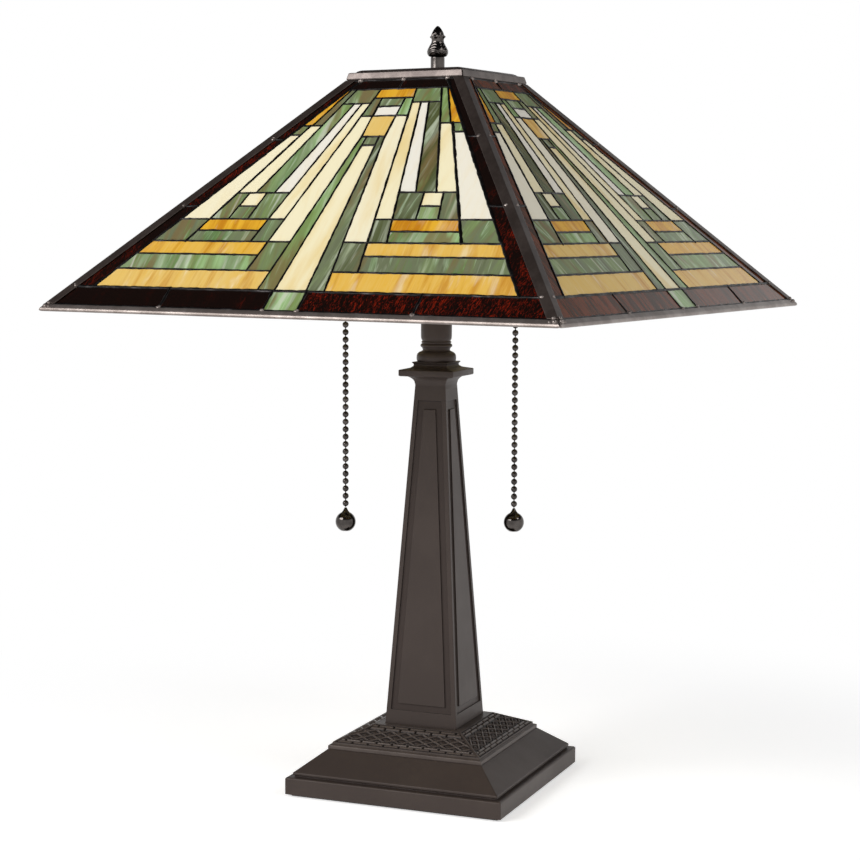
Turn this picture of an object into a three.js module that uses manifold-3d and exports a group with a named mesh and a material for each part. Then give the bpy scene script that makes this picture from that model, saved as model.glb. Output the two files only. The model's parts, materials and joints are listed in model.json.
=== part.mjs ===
// Two-light stained glass table lamp: a square pyramid shade on a tapered square column.
// Millimetres, +Z up. The origin is the middle of the foot, on the surface that the lamp stands on.
import * as THREE from 'three';
import { mergeVertices } from 'three/addons/utils/BufferGeometryUtils.js';
import Module from 'manifold-3d';

// Driving dimensions
const GAP = 0.3; // air between neighbours that turn, slide or are cut to each other
const ROUND = 16; // sides of the larger turned pieces
const SMALL_ROUND = 12; // sides of tubes, nuts and small turned pieces
const BEAD_SIDES = 6;

const SHADE_TURN = -8; // degrees, how the shade sits on its seat
const CLUSTER_TURN = 22; // degrees, how the two arms are screwed on
const SOCKET_TURN = -10.3; // degrees, how each socket is turned on its arm

const FOOT_HALF = 83.6;
const FELT_HALF = 80;
const FELT_TOP = 1.5;
const SLAB_TOP = 14.1;
const LIP_HALF = 78.8;
const LIP_TOP = 17.4;
const PLINTH_TOP_HALF = 60;
const PLINTH_TOP = 32.1;
const PLINTH_WALL = 3;
const LEDGE_HALF = 57.6;
const LEDGE_TOP = 36.9;
const COLLAR_TOP_HALF = 33.8;
const COLLAR_TOP = 47.4;

const CORD_HOLE_R = 4.6; // hole in the rear wall of the slab
const CORD_Z = 7.8;

const COLUMN_FOOT_HALF = 28.1;
const COLUMN_HEAD_HALF = 11.9;
const COLUMN_HEAD = 297;
const COLUMN_WALL = 3;
const STILE = 3.4; // plain border of a column face
const CHANNEL = 4.9; // sunk channel round the centre panel of a column face
const CHANNEL_DEPTH = 1.2;
const CHANNEL_BOTTOM = 10.5; // above the column's foot
const CHANNEL_TOP = 239.5;

const ROD_R = 5;
const ROD_BORE_R = 3.4;
const ROD_FOOT = 18;
const ROD_HEAD = 362;
const PASSAGE = ROD_R + GAP; // bore round the rod
const CAPITAL_HALF = 21.5;
const CAPITAL_TOP = 314.6;
const NECK_R = 11.3;
const NECK_TOP = 350;

const CLUSTER_FOOT = NECK_TOP + GAP;
const CLUSTER_TOP = 370;
const ARM_R = 4.3;
const ARM_BORE_R = 3;
const ARM_Z = 357.5;
const ARM_BEND = 10;
const ARM_REACH = 61.3; // lamp axis to socket axis
const ARM_START = 12;
const RISER_R = 4.8;
const STUD_R = 3.1; // thinned and threaded top of the riser
const STUD_TOP = 532;

const SOCKET_FOOT = 366;
const CAP_TOP = 380.3;
const SHELL_TOP = 420;
const GUIDE_Z = 391;
const GUIDE_REACH = 24; // socket axis to pull chain
const GUIDE_R = 3.4;
const GUIDE_BORE_R = 2.2;
const BULB_TOP = 478;

const LINK_R = 0.6; // the wire between two beads
const SWITCH_TOP = 391;
const SWITCH_BEADS = 5;
const SWITCH_BEAD_R = 1.6;
const UPPER_PIVOT = 373.7;
const LOWER_PIVOT = 361.7;
const CHAIN_BEADS = 28;
const BEAD_R = 2.35;
const CHAIN_FOOT = 209.7;
const BALL_R = 7.4;
const BALL_Z = 199;

const SHADE_HALF = 203.2;
const SHADE_TOP_HALF = 43;
const SHADE_FOOT = 355.6;
const SHADE_TOP = 522.2;
const GLASS = 3; // thickness
const GLASS_SUNK = 1.1; // glass below the outer face of the metal
const RIM_HEIGHT = 4.6; // bottom rim, up the slope
const RIM_DROP = 2; // upright face of the bottom rim
const RIM_THICK = 5.5;
const CROWN_HEIGHT = 7; // top rim, up the slope
const CROWN_THICK = 4.5;
const CROWN_LIP_HALF = 46.8; // outer top edge of the crown's rim
const HIP_GAP = 5.5; // glass edge to the hip line, across
const HIP_WING = 6.5; // each side of the hip bar, along the glass
const HIP_WEB_HALF = 1;
const HIP_WEB_DEPTH = 6;
const CAP_HALF = 40;
const CAP_THICK = 1.6;

const FINIAL_R = 5.2;
const FINIAL_FOOT = SHADE_TOP + CAP_THICK + 2 * GAP;
const FINIAL_WAIST = 535;

const radians = THREE.MathUtils.degToRad;

// Materials
const metal = (color, roughness) => new THREE.MeshStandardMaterial({ color, roughness, metalness: 0.9 });
const plain = (color, roughness) => new THREE.MeshStandardMaterial({ color, roughness, metalness: 0 });
const bronze = () => metal(0x463d3a, 0.45);
const pewter = () => metal(0x5a5450, 0.4);
const nickel = () => metal(0x3a3836, 0.15);
const brass = () => metal(0xb08a4a, 0.35);
const steel = () => metal(0x8d8f92, 0.4);
const iron = () => metal(0x2e2d2c, 0.8);
const felt = () => plain(0x23221f, 1);
const phenolic = () => plain(0x1c1a18, 0.5);
const card = () => plain(0x9a7a50, 0.9);
const rubber = () => plain(0x1a1a1a, 0.8);
const glass = () => plain(0xc8b070, 0.15);
const clearGlass = () => plain(0xf4efe2, 0.1);

// Solids: a closed geometry becomes a solid for cutting, and comes back as a geometry
const wasm = await Module();
wasm.setup();

function solid(geometry) {
  const bare = geometry.clone();
  bare.deleteAttribute('normal');
  bare.deleteAttribute('uv');
  const merged = mergeVertices(bare, 1e-5);
  const index = merged.index.array;
  const triVerts = [];
  for (let i = 0; i < index.length; i += 3) {
    const [a, b, c] = [index[i], index[i + 1], index[i + 2]];
    if (a !== b && b !== c && c !== a) triVerts.push(a, b, c);
  }
  return new wasm.Manifold(new wasm.Mesh({
    numProp: 3,
    vertProperties: Float32Array.from(merged.attributes.position.array),
    triVerts: Uint32Array.from(triVerts),
  }));
}

function geometryOf(body) {
  const mesh = body.getMesh();
  const geometry = new THREE.BufferGeometry();
  geometry.setAttribute('position', new THREE.BufferAttribute(mesh.vertProperties, 3));
  geometry.setIndex(new THREE.BufferAttribute(mesh.triVerts, 1));
  geometry.computeVertexNormals();
  return geometry;
}

const cut = (piece, ...tools) =>
  geometryOf(tools.reduce((body, tool) => body.subtract(solid(tool)), solid(piece)));
const join = (first, ...others) =>
  geometryOf(others.reduce((body, other) => body.add(solid(other)), solid(first)));
const keep = (piece, region) => geometryOf(solid(piece).intersect(solid(region)));

// A profile of [radius, height] points turned about Z. Four sides give a square of that half width.
function turned(profile, sides = ROUND) {
  const square = sides === 4;
  const scale = square ? Math.SQRT2 : 1;
  const points = profile.map(([radius, height]) => new THREE.Vector2(radius * scale, height));
  return new THREE.LatheGeometry(points, sides, square ? Math.PI / 4 : 0).rotateX(Math.PI / 2);
}

// A ring or a shell: the same, with the profile closed on itself
const ring = (profile, sides = ROUND) => turned([...profile, profile[0]], sides);
const tube = (outer, inner, low, high, sides = ROUND) =>
  ring([[inner, low], [outer, low], [outer, high], [inner, high]], sides);

function outline(points, hole) {
  const shape = new THREE.Shape(points.map(([x, y]) => new THREE.Vector2(x, y)));
  if (hole) shape.holes.push(new THREE.Path(hole.map(([x, y]) => new THREE.Vector2(x, y))));
  return shape;
}

const prism = (shape, depth) =>
  new THREE.ExtrudeGeometry(shape, { depth, bevelEnabled: false, curveSegments: SMALL_ROUND });

function rodAlongY(radius, from, to, z) {
  const length = Math.abs(to - from);
  return new THREE.CylinderGeometry(radius, radius, length, SMALL_ROUND).translate(0, (from + to) / 2, z);
}

function hexNut(acrossCorners, bore, low, height) {
  const corners = Array.from({ length: 6 }, (_, i) => {
    const angle = (i * Math.PI) / 3;
    return [(acrossCorners / 2) * Math.cos(angle), (acrossCorners / 2) * Math.sin(angle)];
  });
  const shape = outline(corners);
  shape.holes.push(new THREE.Path().absarc(0, 0, bore, 0, 2 * Math.PI));
  return prism(shape, height).translate(0, 0, low);
}

function add(group, name, geometry, material) {
  const mesh = new THREE.Mesh(geometry, material);
  mesh.name = name;
  group.add(mesh);
  return mesh;
}

// Base and column
function plinth() {
  const inner = FOOT_HALF - PLINTH_WALL - 1;
  const shell = ring([
    [inner, FELT_TOP], [FOOT_HALF, FELT_TOP], [FOOT_HALF, SLAB_TOP - 0.8], [FOOT_HALF - 0.8, SLAB_TOP],
    [LIP_HALF - 0.6, SLAB_TOP], [LIP_HALF - 0.6, SLAB_TOP + 1.1], [LIP_HALF + 0.6, SLAB_TOP + 1.1],
    [LIP_HALF + 0.6, LIP_TOP - 0.4], [LIP_HALF, LIP_TOP], [PLINTH_TOP_HALF, PLINTH_TOP],
    [PASSAGE, PLINTH_TOP], [PASSAGE, PLINTH_TOP - PLINTH_WALL],
    [PLINTH_TOP_HALF - 1, PLINTH_TOP - PLINTH_WALL], [LIP_HALF - PLINTH_WALL - 2, LIP_TOP - 2],
    [inner, SLAB_TOP - PLINTH_WALL],
  ], 4);
  return cut(shell, rodAlongY(CORD_HOLE_R, FOOT_HALF - 10, FOOT_HALF + 5, CORD_Z));
}

// Sleeve in the rear wall of the slab, with a flange outside, that the supply lead leaves through
function cordBushing() {
  const sleeve = ring([
    [3, 0], [4.3, 0], [4.3, 5], [6, 5], [6, 6.6], [3, 6.6],
  ], SMALL_ROUND);
  return sleeve.rotateX(-Math.PI / 2).translate(0, FOOT_HALF - 5 + GAP, CORD_Z);
}

function collar() {
  const step = 2;
  return ring([
    [PLINTH_TOP_HALF - 5, PLINTH_TOP], [PLINTH_TOP_HALF, PLINTH_TOP], [PLINTH_TOP_HALF, LEDGE_TOP - step],
    [LEDGE_HALF, LEDGE_TOP - step], [LEDGE_HALF, LEDGE_TOP], [COLLAR_TOP_HALF, COLLAR_TOP],
    [PASSAGE, COLLAR_TOP], [PASSAGE, COLLAR_TOP - PLINTH_WALL],
    [COLLAR_TOP_HALF - 2, COLLAR_TOP - PLINTH_WALL], [LEDGE_HALF - 4, LEDGE_TOP - step],
  ], 4);
}

function column() {
  const height = COLUMN_HEAD - COLLAR_TOP;
  const run = COLUMN_FOOT_HALF - COLUMN_HEAD_HALF;
  const slant = Math.hypot(height, run);
  const shell = ring([
    [COLUMN_FOOT_HALF - COLUMN_WALL, COLLAR_TOP], [COLUMN_FOOT_HALF, COLLAR_TOP],
    [COLUMN_HEAD_HALF, COLUMN_HEAD], [COLUMN_HEAD_HALF - COLUMN_WALL, COLUMN_HEAD],
  ], 4);
  const halfAt = (v) => COLUMN_FOOT_HALF - (run * v) / slant;
  const frame = (inset, low, high) => [
    [inset - halfAt(low), low], [halfAt(low) - inset, low], [halfAt(high) - inset, high], [inset - halfAt(high), high],
  ];
  const panel = frame(STILE + CHANNEL, CHANNEL_BOTTOM + CHANNEL, CHANNEL_TOP - CHANNEL - 1.5);
  const channel = prism(outline(frame(STILE, CHANNEL_BOTTOM, CHANNEL_TOP), panel), 2 * CHANNEL_DEPTH);
  // Stand the outline up on the front face, sunk by the channel's depth
  channel.translate(0, 0, -CHANNEL_DEPTH).rotateX(Math.PI / 2 - Math.atan2(run, height));
  channel.translate(0, -COLUMN_FOOT_HALF, COLLAR_TOP);
  const sides = [0, 1, 2, 3].map((k) => channel.clone().rotateZ((k * Math.PI) / 2));
  return cut(shell, ...sides);
}

function capital() {
  const spigot = COLUMN_HEAD_HALF - COLUMN_WALL - GAP;
  const plateLow = 304.7;
  const plateHigh = 309.1;
  return ring([
    [PASSAGE, COLUMN_HEAD - 6], [spigot, COLUMN_HEAD - 6], [spigot, COLUMN_HEAD],
    [COLUMN_HEAD_HALF, COLUMN_HEAD], [COLUMN_HEAD_HALF + 0.2, 300], [COLUMN_HEAD_HALF + 0.8, 302.6],
    [COLUMN_HEAD_HALF + 2.4, plateLow], [CAPITAL_HALF, plateLow], [CAPITAL_HALF, plateHigh - 0.6],
    [CAPITAL_HALF - 0.6, plateHigh], [14.6, 310.6], [13.4, 311.4], [13, 312.6], [13.6, 313.6],
    [14, CAPITAL_TOP], [PASSAGE, CAPITAL_TOP],
  ], 4);
}

function neck() {
  return ring([
    [PASSAGE, CAPITAL_TOP], [13.8, CAPITAL_TOP], [14.4, 315.6], [14.4, 319.4], [13.4, 321], [11, 322],
    [10, 323], [10, 323.8], [11.4, 325.2], [11.6, 326.4], [11, 328.4], [10.6, 329.8],
    [NECK_R - 0.4, 330.8], [NECK_R, 332.4], [NECK_R, NECK_TOP - 3], [NECK_R - 0.4, NECK_TOP], [PASSAGE, NECK_TOP],
  ]);
}

function addBase(lamp) {
  add(lamp, 'felt_pad', new THREE.BoxGeometry(2 * FELT_HALF, 2 * FELT_HALF, FELT_TOP)
    .translate(0, 0, FELT_TOP / 2), felt());
  add(lamp, 'base_weight', tube(62, 24, FELT_TOP + 1.5, SLAB_TOP - 2, 4), iron());
  add(lamp, 'base_plinth', plinth(), bronze());
  add(lamp, 'cord_bushing', cordBushing(), rubber());
  add(lamp, 'base_collar', collar(), bronze());
  add(lamp, 'column', column(), bronze());
  add(lamp, 'capital', capital(), bronze());
  add(lamp, 'neck', neck(), bronze());
  const web = PLINTH_TOP - PLINTH_WALL;
  add(lamp, 'lamp_rod', tube(ROD_R, ROD_BORE_R, ROD_FOOT, ROD_HEAD, SMALL_ROUND), steel());
  add(lamp, 'rod_washer', tube(16, PASSAGE, web - 1.6, web), steel());
  add(lamp, 'rod_nut', hexNut(18, PASSAGE, web - 8, 6.4), steel());
}

// Cluster, arms and riser
function clusterBody() {
  const inside = 3.2;
  const shell = ring([
    [PASSAGE, CLUSTER_FOOT], [13, CLUSTER_FOOT], [16, 353], [16.6, 358], [16, 363], [12, 368], [8, CLUSTER_TOP],
    [PASSAGE, CLUSTER_TOP], [PASSAGE, CLUSTER_TOP - 2.6], [11, 365], [16 - inside, 362], [16.6 - inside, 358],
    [16 - inside, 354.4], [PASSAGE, 353],
  ]);
  const hole = new THREE.CylinderGeometry(ARM_R + GAP, ARM_R + GAP, 60, SMALL_ROUND)
    .rotateZ(Math.PI / 2).translate(0, 0, ARM_Z);
  return cut(shell, hole);
}

// Bent tube from the cluster out to under the socket and up into its cap
function arm() {
  const path = new THREE.CurvePath();
  const bendStart = new THREE.Vector3(ARM_REACH - ARM_BEND, 0, ARM_Z);
  const bendCorner = new THREE.Vector3(ARM_REACH, 0, ARM_Z);
  const bendEnd = new THREE.Vector3(ARM_REACH, 0, ARM_Z + ARM_BEND);
  path.add(new THREE.LineCurve3(new THREE.Vector3(ARM_START, 0, ARM_Z), bendStart));
  path.add(new THREE.QuadraticBezierCurve3(bendStart, bendCorner, bendEnd));
  path.add(new THREE.LineCurve3(bendEnd, new THREE.Vector3(ARM_REACH, 0, SOCKET_FOOT + 5)));
  const section = new THREE.Shape().absarc(0, 0, ARM_R, 0, 2 * Math.PI);
  section.holes.push(new THREE.Path().absarc(0, 0, ARM_BORE_R, 0, 2 * Math.PI));
  return new THREE.ExtrudeGeometry(section, { extrudePath: path, steps: 10, curveSegments: 5 });
}

function riserRod() {
  const shoulder = 516;
  return turned([
    [0, ROD_HEAD + 2 * GAP], [RISER_R, ROD_HEAD + 2 * GAP], [RISER_R, shoulder], [STUD_R, shoulder + 1],
    [STUD_R, STUD_TOP - 0.6], [STUD_R - 0.6, STUD_TOP], [0, STUD_TOP],
  ], SMALL_ROUND);
}

// Socket, bulb and pull chain, all on the socket's own axis
function socketCap() {
  return ring([
    [5, SOCKET_FOOT], [6.5, SOCKET_FOOT], [6.5, 371], [9, 373], [15, 375.6], [17, 377.6], [17.6, CAP_TOP],
    [16.4, CAP_TOP], [15.9, 378.2], [14.4, 376.8], [8.4, 374.4], [5, 373.2],
  ]);
}

const guideSlot = (low, high) =>
  new THREE.BoxGeometry(2 * GUIDE_R + 1.2, 12, high - low).translate(0, -16, (low + high) / 2);

function socketShell() {
  const low = CAP_TOP + GAP;
  const shell = ring([
    [16.6, low], [17.6, low], [17.6, 412], [18.3, 413.5], [18.3, 415], [17.6, 416.5], [17.6, SHELL_TOP],
    [16.6, SHELL_TOP],
  ]);
  return cut(shell, guideSlot(low - 1, GUIDE_Z + GUIDE_R + 1));
}

function socketLiner() {
  return cut(tube(16.2, 15.4, 381.2, 419), guideSlot(380, GUIDE_Z + GUIDE_R + 1));
}

function socketInterior() {
  return turned([[0, 381.6], [15, 381.6], [15, 401.6], [8, 401.6], [8, 397.6], [0, 397.6]]);
}

// Flared guide that turns the switch's chain downward
function chainGuide() {
  const start = -15.4;
  const mouth = 383.6;
  const bell = turned([
    [0, mouth + 1], [4.4, mouth], [5.2, mouth + 0.4], [4, 386.4], [GUIDE_R, 389], [GUIDE_R, 393],
    [2.2, 395], [0, 395.4],
  ], SMALL_ROUND).translate(0, -GUIDE_REACH, 0);
  const throat = turned([
    [0, mouth - 1], [4.2, mouth - 1], [3.6, mouth + 1], [GUIDE_BORE_R, 387], [GUIDE_BORE_R, 392.6], [0, 392.6],
  ], SMALL_ROUND).translate(0, -GUIDE_REACH, 0);
  const boss = rodAlongY(GUIDE_R - 0.2, start, -GUIDE_REACH, GUIDE_Z);
  const bore = rodAlongY(GUIDE_BORE_R - 0.2, start + 1, -GUIDE_REACH, GUIDE_Z);
  return cut(join(bell, boss), throat, bore);
}

function bulbBase() {
  return turned([
    [0, 398.2], [4.4, 398.2], [5, 400], [9, 403], [13.1, 405], [13.1, 417.6], [0, 417.6],
  ]);
}

function bulbGlass() {
  const wall = 1;
  const outer = [[12, 418], [13.2, 425], [18, 436], [22.6, 445], [24, 453], [22.4, 462], [17, 470.6], [9, 476.4]];
  const inner = outer.map(([radius, height]) => [radius - wall, height - (height > 460 ? 0.6 : 0)]).reverse();
  return turned([[0, BULB_TOP - wall], ...inner, ...outer, [0, BULB_TOP]]);
}

// Beads on a wire from one height down to another
function beads(count, radius, high, low) {
  const pitch = (high - low) / count;
  const profile = [[0, low], [LINK_R, low]];
  for (let i = 0; i < count; i += 1) {
    const foot = low + i * pitch;
    profile.push([radius, foot + 0.33 * pitch], [radius, foot + 0.67 * pitch], [LINK_R, foot + pitch]);
  }
  return turned([...profile, [0, high]], BEAD_SIDES);
}

function chainCoupling() {
  const high = UPPER_PIVOT - GAP;
  const low = LOWER_PIVOT + GAP;
  return turned([
    [0, low], [LINK_R, low], [2.5, low + 2.4], [2.5, high - 3.4], [1.7, high - 2], [LINK_R, high], [0, high],
  ], 8);
}

function pullBall() {
  const crown = CHAIN_FOOT - GAP;
  const arc = [-65, -45, -22, 0, 22, 45, 62].map((degrees) => {
    const angle = radians(degrees);
    return [BALL_R * Math.cos(angle), BALL_Z + BALL_R * Math.sin(angle)];
  });
  const foot = arc[0][1];
  return turned([[0, foot], ...arc, [2, 206.6], [LINK_R, crown], [0, crown]], 16);
}

function addSocket(cluster, side, sign) {
  const socket = new THREE.Group();
  socket.position.x = sign * ARM_REACH;
  socket.rotation.z = radians(SOCKET_TURN);
  cluster.add(socket);
  add(socket, `${side}_socket_cap`, socketCap(), brass());
  add(socket, `${side}_socket_shell`, socketShell(), brass());
  add(socket, `${side}_socket_liner`, socketLiner(), card());
  add(socket, `${side}_socket_interior`, socketInterior(), phenolic());
  add(socket, `${side}_screw_shell`, tube(14.4, 13.5, 402, 419), brass());
  add(socket, `${side}_chain_guide`, chainGuide(), brass());
  add(socket, `${side}_bulb_base`, bulbBase(), steel());
  add(socket, `${side}_bulb_glass`, bulbGlass(), clearGlass());
  const chain = new THREE.Group();
  chain.position.y = -GUIDE_REACH;
  socket.add(chain);
  add(chain, `${side}_switch_chain`,
    beads(SWITCH_BEADS, SWITCH_BEAD_R, SWITCH_TOP, UPPER_PIVOT + GAP), nickel());
  add(chain, `${side}_chain_coupling`, chainCoupling(), nickel());
  add(chain, `${side}_bead_chain`, beads(CHAIN_BEADS, BEAD_R, LOWER_PIVOT - GAP, CHAIN_FOOT), nickel());
  add(chain, `${side}_pull_ball`, pullBall(), nickel());
}

function addCluster(lamp) {
  const cluster = new THREE.Group();
  cluster.rotation.z = radians(CLUSTER_TURN);
  lamp.add(cluster);
  add(cluster, 'cluster_body', clusterBody(), brass());
  add(cluster, 'arm_right', arm(), brass());
  add(cluster, 'arm_left', arm().rotateZ(Math.PI), brass());
  addSocket(cluster, 'right', 1);
  addSocket(cluster, 'left', -1);
  add(lamp, 'riser_rod', riserRod(), steel());
}

// Shade: square shells about the axis, sliced into their four sides
const SLOPE = Math.atan2(SHADE_TOP - SHADE_FOOT, SHADE_HALF - SHADE_TOP_HALF);
const SLANT = Math.hypot(SHADE_TOP - SHADE_FOOT, SHADE_HALF - SHADE_TOP_HALF);

// A point of the shade's section, up the slope from its foot and below its outer face
function onSlope(up, below) {
  return [
    SHADE_HALF - up * Math.cos(SLOPE) - below * Math.sin(SLOPE),
    SHADE_FOOT + up * Math.sin(SLOPE) - below * Math.cos(SLOPE),
  ];
}

const slopeShell = (from, to, outer, inner) =>
  ring([onSlope(from, inner), onSlope(from, outer), onSlope(to, outer), onSlope(to, inner)], 4);

// The part of a square shell in front of the two diagonals, short of them by the clearance
function frontSide(shell, clearance) {
  const reach = 2 * SHADE_HALF;
  const wedge = prism(outline([[0, -clearance], [-reach, -reach - clearance], [reach, -reach - clearance]]), reach)
    .translate(0, 0, SHADE_FOOT - reach / 4);
  return keep(shell, wedge);
}

// Metal bar over the front right hip: a roof-shaped section with a web between the glass edges
function hipBar() {
  const corner = (half, height) => new THREE.Vector3(half, -half, height);
  const foot = corner(SHADE_HALF, SHADE_FOOT);
  const along = corner(SHADE_TOP_HALF, SHADE_TOP).sub(foot);
  const length = along.length();
  along.normalize();
  const across = new THREE.Vector3(-1, -1, 0).normalize();
  const out = new THREE.Vector3().crossVectors(along, across);
  // Angle between the outward direction and either face, from the face's own slope
  const faceNormal = new THREE.Vector3(0, -Math.sin(SLOPE), Math.cos(SLOPE));
  const tilt = Math.acos(faceNormal.dot(out));
  const onFace = (distance, above) => [
    distance * Math.cos(tilt) + above * Math.sin(tilt),
    -distance * Math.sin(tilt) + above * Math.cos(tilt),
  ];
  const over = GAP - GLASS_SUNK;
  const webTop = onFace((HIP_WEB_HALF - over * Math.sin(tilt)) / Math.cos(tilt), over);
  const half = [
    onFace(HIP_WING, 0), onFace(HIP_WING, over), webTop, [HIP_WEB_HALF, -HIP_WEB_DEPTH],
  ];
  const mirrored = half.map(([x, y]) => [-x, y]).reverse();
  const bar = prism(outline([[0, 0], ...mirrored.reverse(), ...half.reverse()]), length);
  bar.applyMatrix4(new THREE.Matrix4().makeBasis(across, out, along)).translate(foot.x, foot.y, foot.z);
  const rims = [
    slopeShell(-20, RIM_HEIGHT + GAP, -5, 20),
    slopeShell(SLANT - CROWN_HEIGHT - GAP, SLANT + 30, -5, 30),
  ];
  return cut(bar, ...rims);
}

function addShade(lamp) {
  const shade = new THREE.Group();
  shade.rotation.z = radians(SHADE_TURN);
  lamp.add(shade);
  const crownFoot = SLANT - CROWN_HEIGHT;
  const panel = frontSide(
    slopeShell(RIM_HEIGHT + GAP, crownFoot - GAP, GLASS_SUNK, GLASS_SUNK + GLASS), HIP_GAP);
  // The bottom rim has an upright outer face under the slope and a level underside
  const bottomRim = frontSide(ring([
    onSlope(RIM_HEIGHT, RIM_THICK), [SHADE_HALF - RIM_THICK, SHADE_FOOT - RIM_DROP],
    [SHADE_HALF, SHADE_FOOT - RIM_DROP], onSlope(0, 0), onSlope(RIM_HEIGHT, 0),
  ], 4), GAP);
  // The crown's rim stands steeper than the slope, with a level top
  const topRim = frontSide(ring([
    onSlope(crownFoot, CROWN_THICK), onSlope(crownFoot, -0.4), [CROWN_LIP_HALF, SHADE_TOP],
    onSlope(SLANT, 0), onSlope(SLANT, CROWN_THICK),
  ], 4), GAP);
  const hip = hipBar();
  const quarters = [
    ['front', 'front_right'], ['right', 'back_right'], ['back', 'back_left'], ['left', 'front_left'],
  ];
  quarters.forEach(([side, corner], k) => {
    const quarter = new THREE.Group();
    quarter.rotation.z = (k * Math.PI) / 2;
    shade.add(quarter);
    add(quarter, `glass_${side}`, panel, glass());
    add(quarter, `bottom_rim_${side}`, bottomRim, pewter());
    add(quarter, `top_rim_${side}`, topRim, pewter());
    add(quarter, `hip_bar_${corner}`, hip, pewter());
  });
  const capLow = SHADE_TOP + GAP;
  add(shade, 'shade_cap', cut(
    new THREE.BoxGeometry(2 * CAP_HALF, 2 * CAP_HALF, CAP_THICK).translate(0, 0, capLow + CAP_THICK / 2),
    tube(STUD_R + GAP, 0, capLow - 1, capLow + CAP_THICK + 1, SMALL_ROUND),
  ), pewter());
}

// Seat under the shade's cap, on the riser's stud
function addSeat(lamp) {
  const seatTop = SHADE_TOP;
  add(lamp, 'shade_seat', tube(14, STUD_R + GAP, seatTop - 1.8, seatTop), steel());
  add(lamp, 'seat_nut', hexNut(13, STUD_R + GAP, 517.4, 2.8), steel());
}

function addFinial(lamp) {
  add(lamp, 'finial_base', ring([
    [STUD_R + GAP, FINIAL_FOOT], [FINIAL_R + 0.4, FINIAL_FOOT], [FINIAL_R + 0.4, FINIAL_FOOT + 0.8],
    [FINIAL_R, FINIAL_FOOT + 1.4], [FINIAL_R, FINIAL_WAIST], [STUD_R + GAP, FINIAL_WAIST],
  ]), nickel());
  add(lamp, 'finial', turned([
    [0, FINIAL_WAIST], [5.4, FINIAL_WAIST], [7.2, 536.6], [7.7, 538.6], [6.9, 541.4], [4.7, 545.4], [4.6, 547],
    [5.3, 549], [5.3, 549.8], [4.4, 551.6], [2.6, 554.8], [1.2, 556.6], [0, 557.3],
  ], 16), nickel());
}

const lamp = new THREE.Group();
addBase(lamp);
addCluster(lamp);
addShade(lamp);
addSeat(lamp);
addFinial(lamp);

export default lamp;
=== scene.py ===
"""Looks of a two-light stained glass table lamp, built round its fixed frame.

Laid out as an add-on: sizes and colours are properties, and each group of pieces has its operator.
Tables and helpers work in millimetres, in the lamp's own axes; the finished pieces are in metres.
"""
import json
import math
import random

import bmesh
import bpy
from bpy.props import FloatProperty, FloatVectorProperty, PointerProperty
from bpy.types import Operator, Panel, PropertyGroup
from mathutils import Matrix, Vector

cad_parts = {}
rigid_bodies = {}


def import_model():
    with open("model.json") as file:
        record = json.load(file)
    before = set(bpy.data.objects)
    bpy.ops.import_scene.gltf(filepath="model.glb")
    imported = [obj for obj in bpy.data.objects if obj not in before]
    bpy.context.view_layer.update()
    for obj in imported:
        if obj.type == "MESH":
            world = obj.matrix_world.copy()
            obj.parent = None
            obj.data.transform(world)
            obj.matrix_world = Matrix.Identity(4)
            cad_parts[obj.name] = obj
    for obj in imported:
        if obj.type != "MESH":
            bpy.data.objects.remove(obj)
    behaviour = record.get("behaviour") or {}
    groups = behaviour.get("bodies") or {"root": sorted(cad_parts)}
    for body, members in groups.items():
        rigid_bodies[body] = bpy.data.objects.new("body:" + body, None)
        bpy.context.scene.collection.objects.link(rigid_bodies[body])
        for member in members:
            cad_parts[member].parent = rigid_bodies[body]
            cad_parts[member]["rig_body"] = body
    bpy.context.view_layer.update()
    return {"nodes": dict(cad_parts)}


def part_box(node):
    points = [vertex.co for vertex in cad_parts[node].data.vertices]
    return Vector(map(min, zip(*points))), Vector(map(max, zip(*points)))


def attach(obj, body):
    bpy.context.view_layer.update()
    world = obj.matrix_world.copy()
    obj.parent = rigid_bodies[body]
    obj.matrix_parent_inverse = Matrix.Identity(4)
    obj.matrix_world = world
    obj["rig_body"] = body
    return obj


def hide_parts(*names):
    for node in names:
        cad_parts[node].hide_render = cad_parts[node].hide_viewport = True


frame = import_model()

bl_info = {
    "name": "Stained Glass Table Lamp",
    "version": (1, 0, 0),
    "blender": (4, 5, 0),
    "location": "3D View > Sidebar > Lamp",
    "description": "Glass, came, castings, chains and finial of a table lamp, built round its frame",
    "category": "Add Mesh",
}

NODES = frame["nodes"]
MM = 0.001
SAME = 0.01  # millimetres within which two levels are one
SIDES = ("front", "right", "back", "left")
SOCKETS = ("left", "right")


# ---------------------------------------------------------------- what a user may change

def length(name, description, default):
    return FloatProperty(
        name=name, description=description, default=default * MM, min=0.0,
        subtype="DISTANCE", unit="LENGTH", precision=5)


def linear(red, green, blue):
    """A colour given as 0 to 255 on a screen, as a shader wants it."""
    return tuple((part / 255 / 12.92) if part < 10.3 else ((part / 255 + 0.055) / 1.055) ** 2.4
                 for part in (red, green, blue))


def tint(name, description, *screen):
    return FloatVectorProperty(
        name=name, description=description, default=linear(*screen), size=3, min=0.0, max=1.0,
        subtype="COLOR")


class LampSizes(PropertyGroup):
    """Sizes of the detail that is added to the frame."""
    came_width: length("Came width", "Width of the soldered line between two panes", 1.65)
    came_height: length("Came height", "How far the soldered line stands above the glass", 0.6)
    pane_edge: length("Pane edge", "Rounding of each pane's cut edge", 0.3)
    solder_radius: length("Solder radius", "Radius of the solder where lines meet the metal bars", 1.9)
    casting_edge: length("Casting edge", "Rounding of the cast pieces' edges", 0.7)
    bar_edge: length("Bar edge", "Rounding of the shade's metal bars", 0.6)
    relief_depth: length("Relief depth", "Height of the pattern on the foot's upper slope", 1.0)
    link_radius: length("Link radius", "Radius of the wire between two beads", 0.45)


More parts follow.
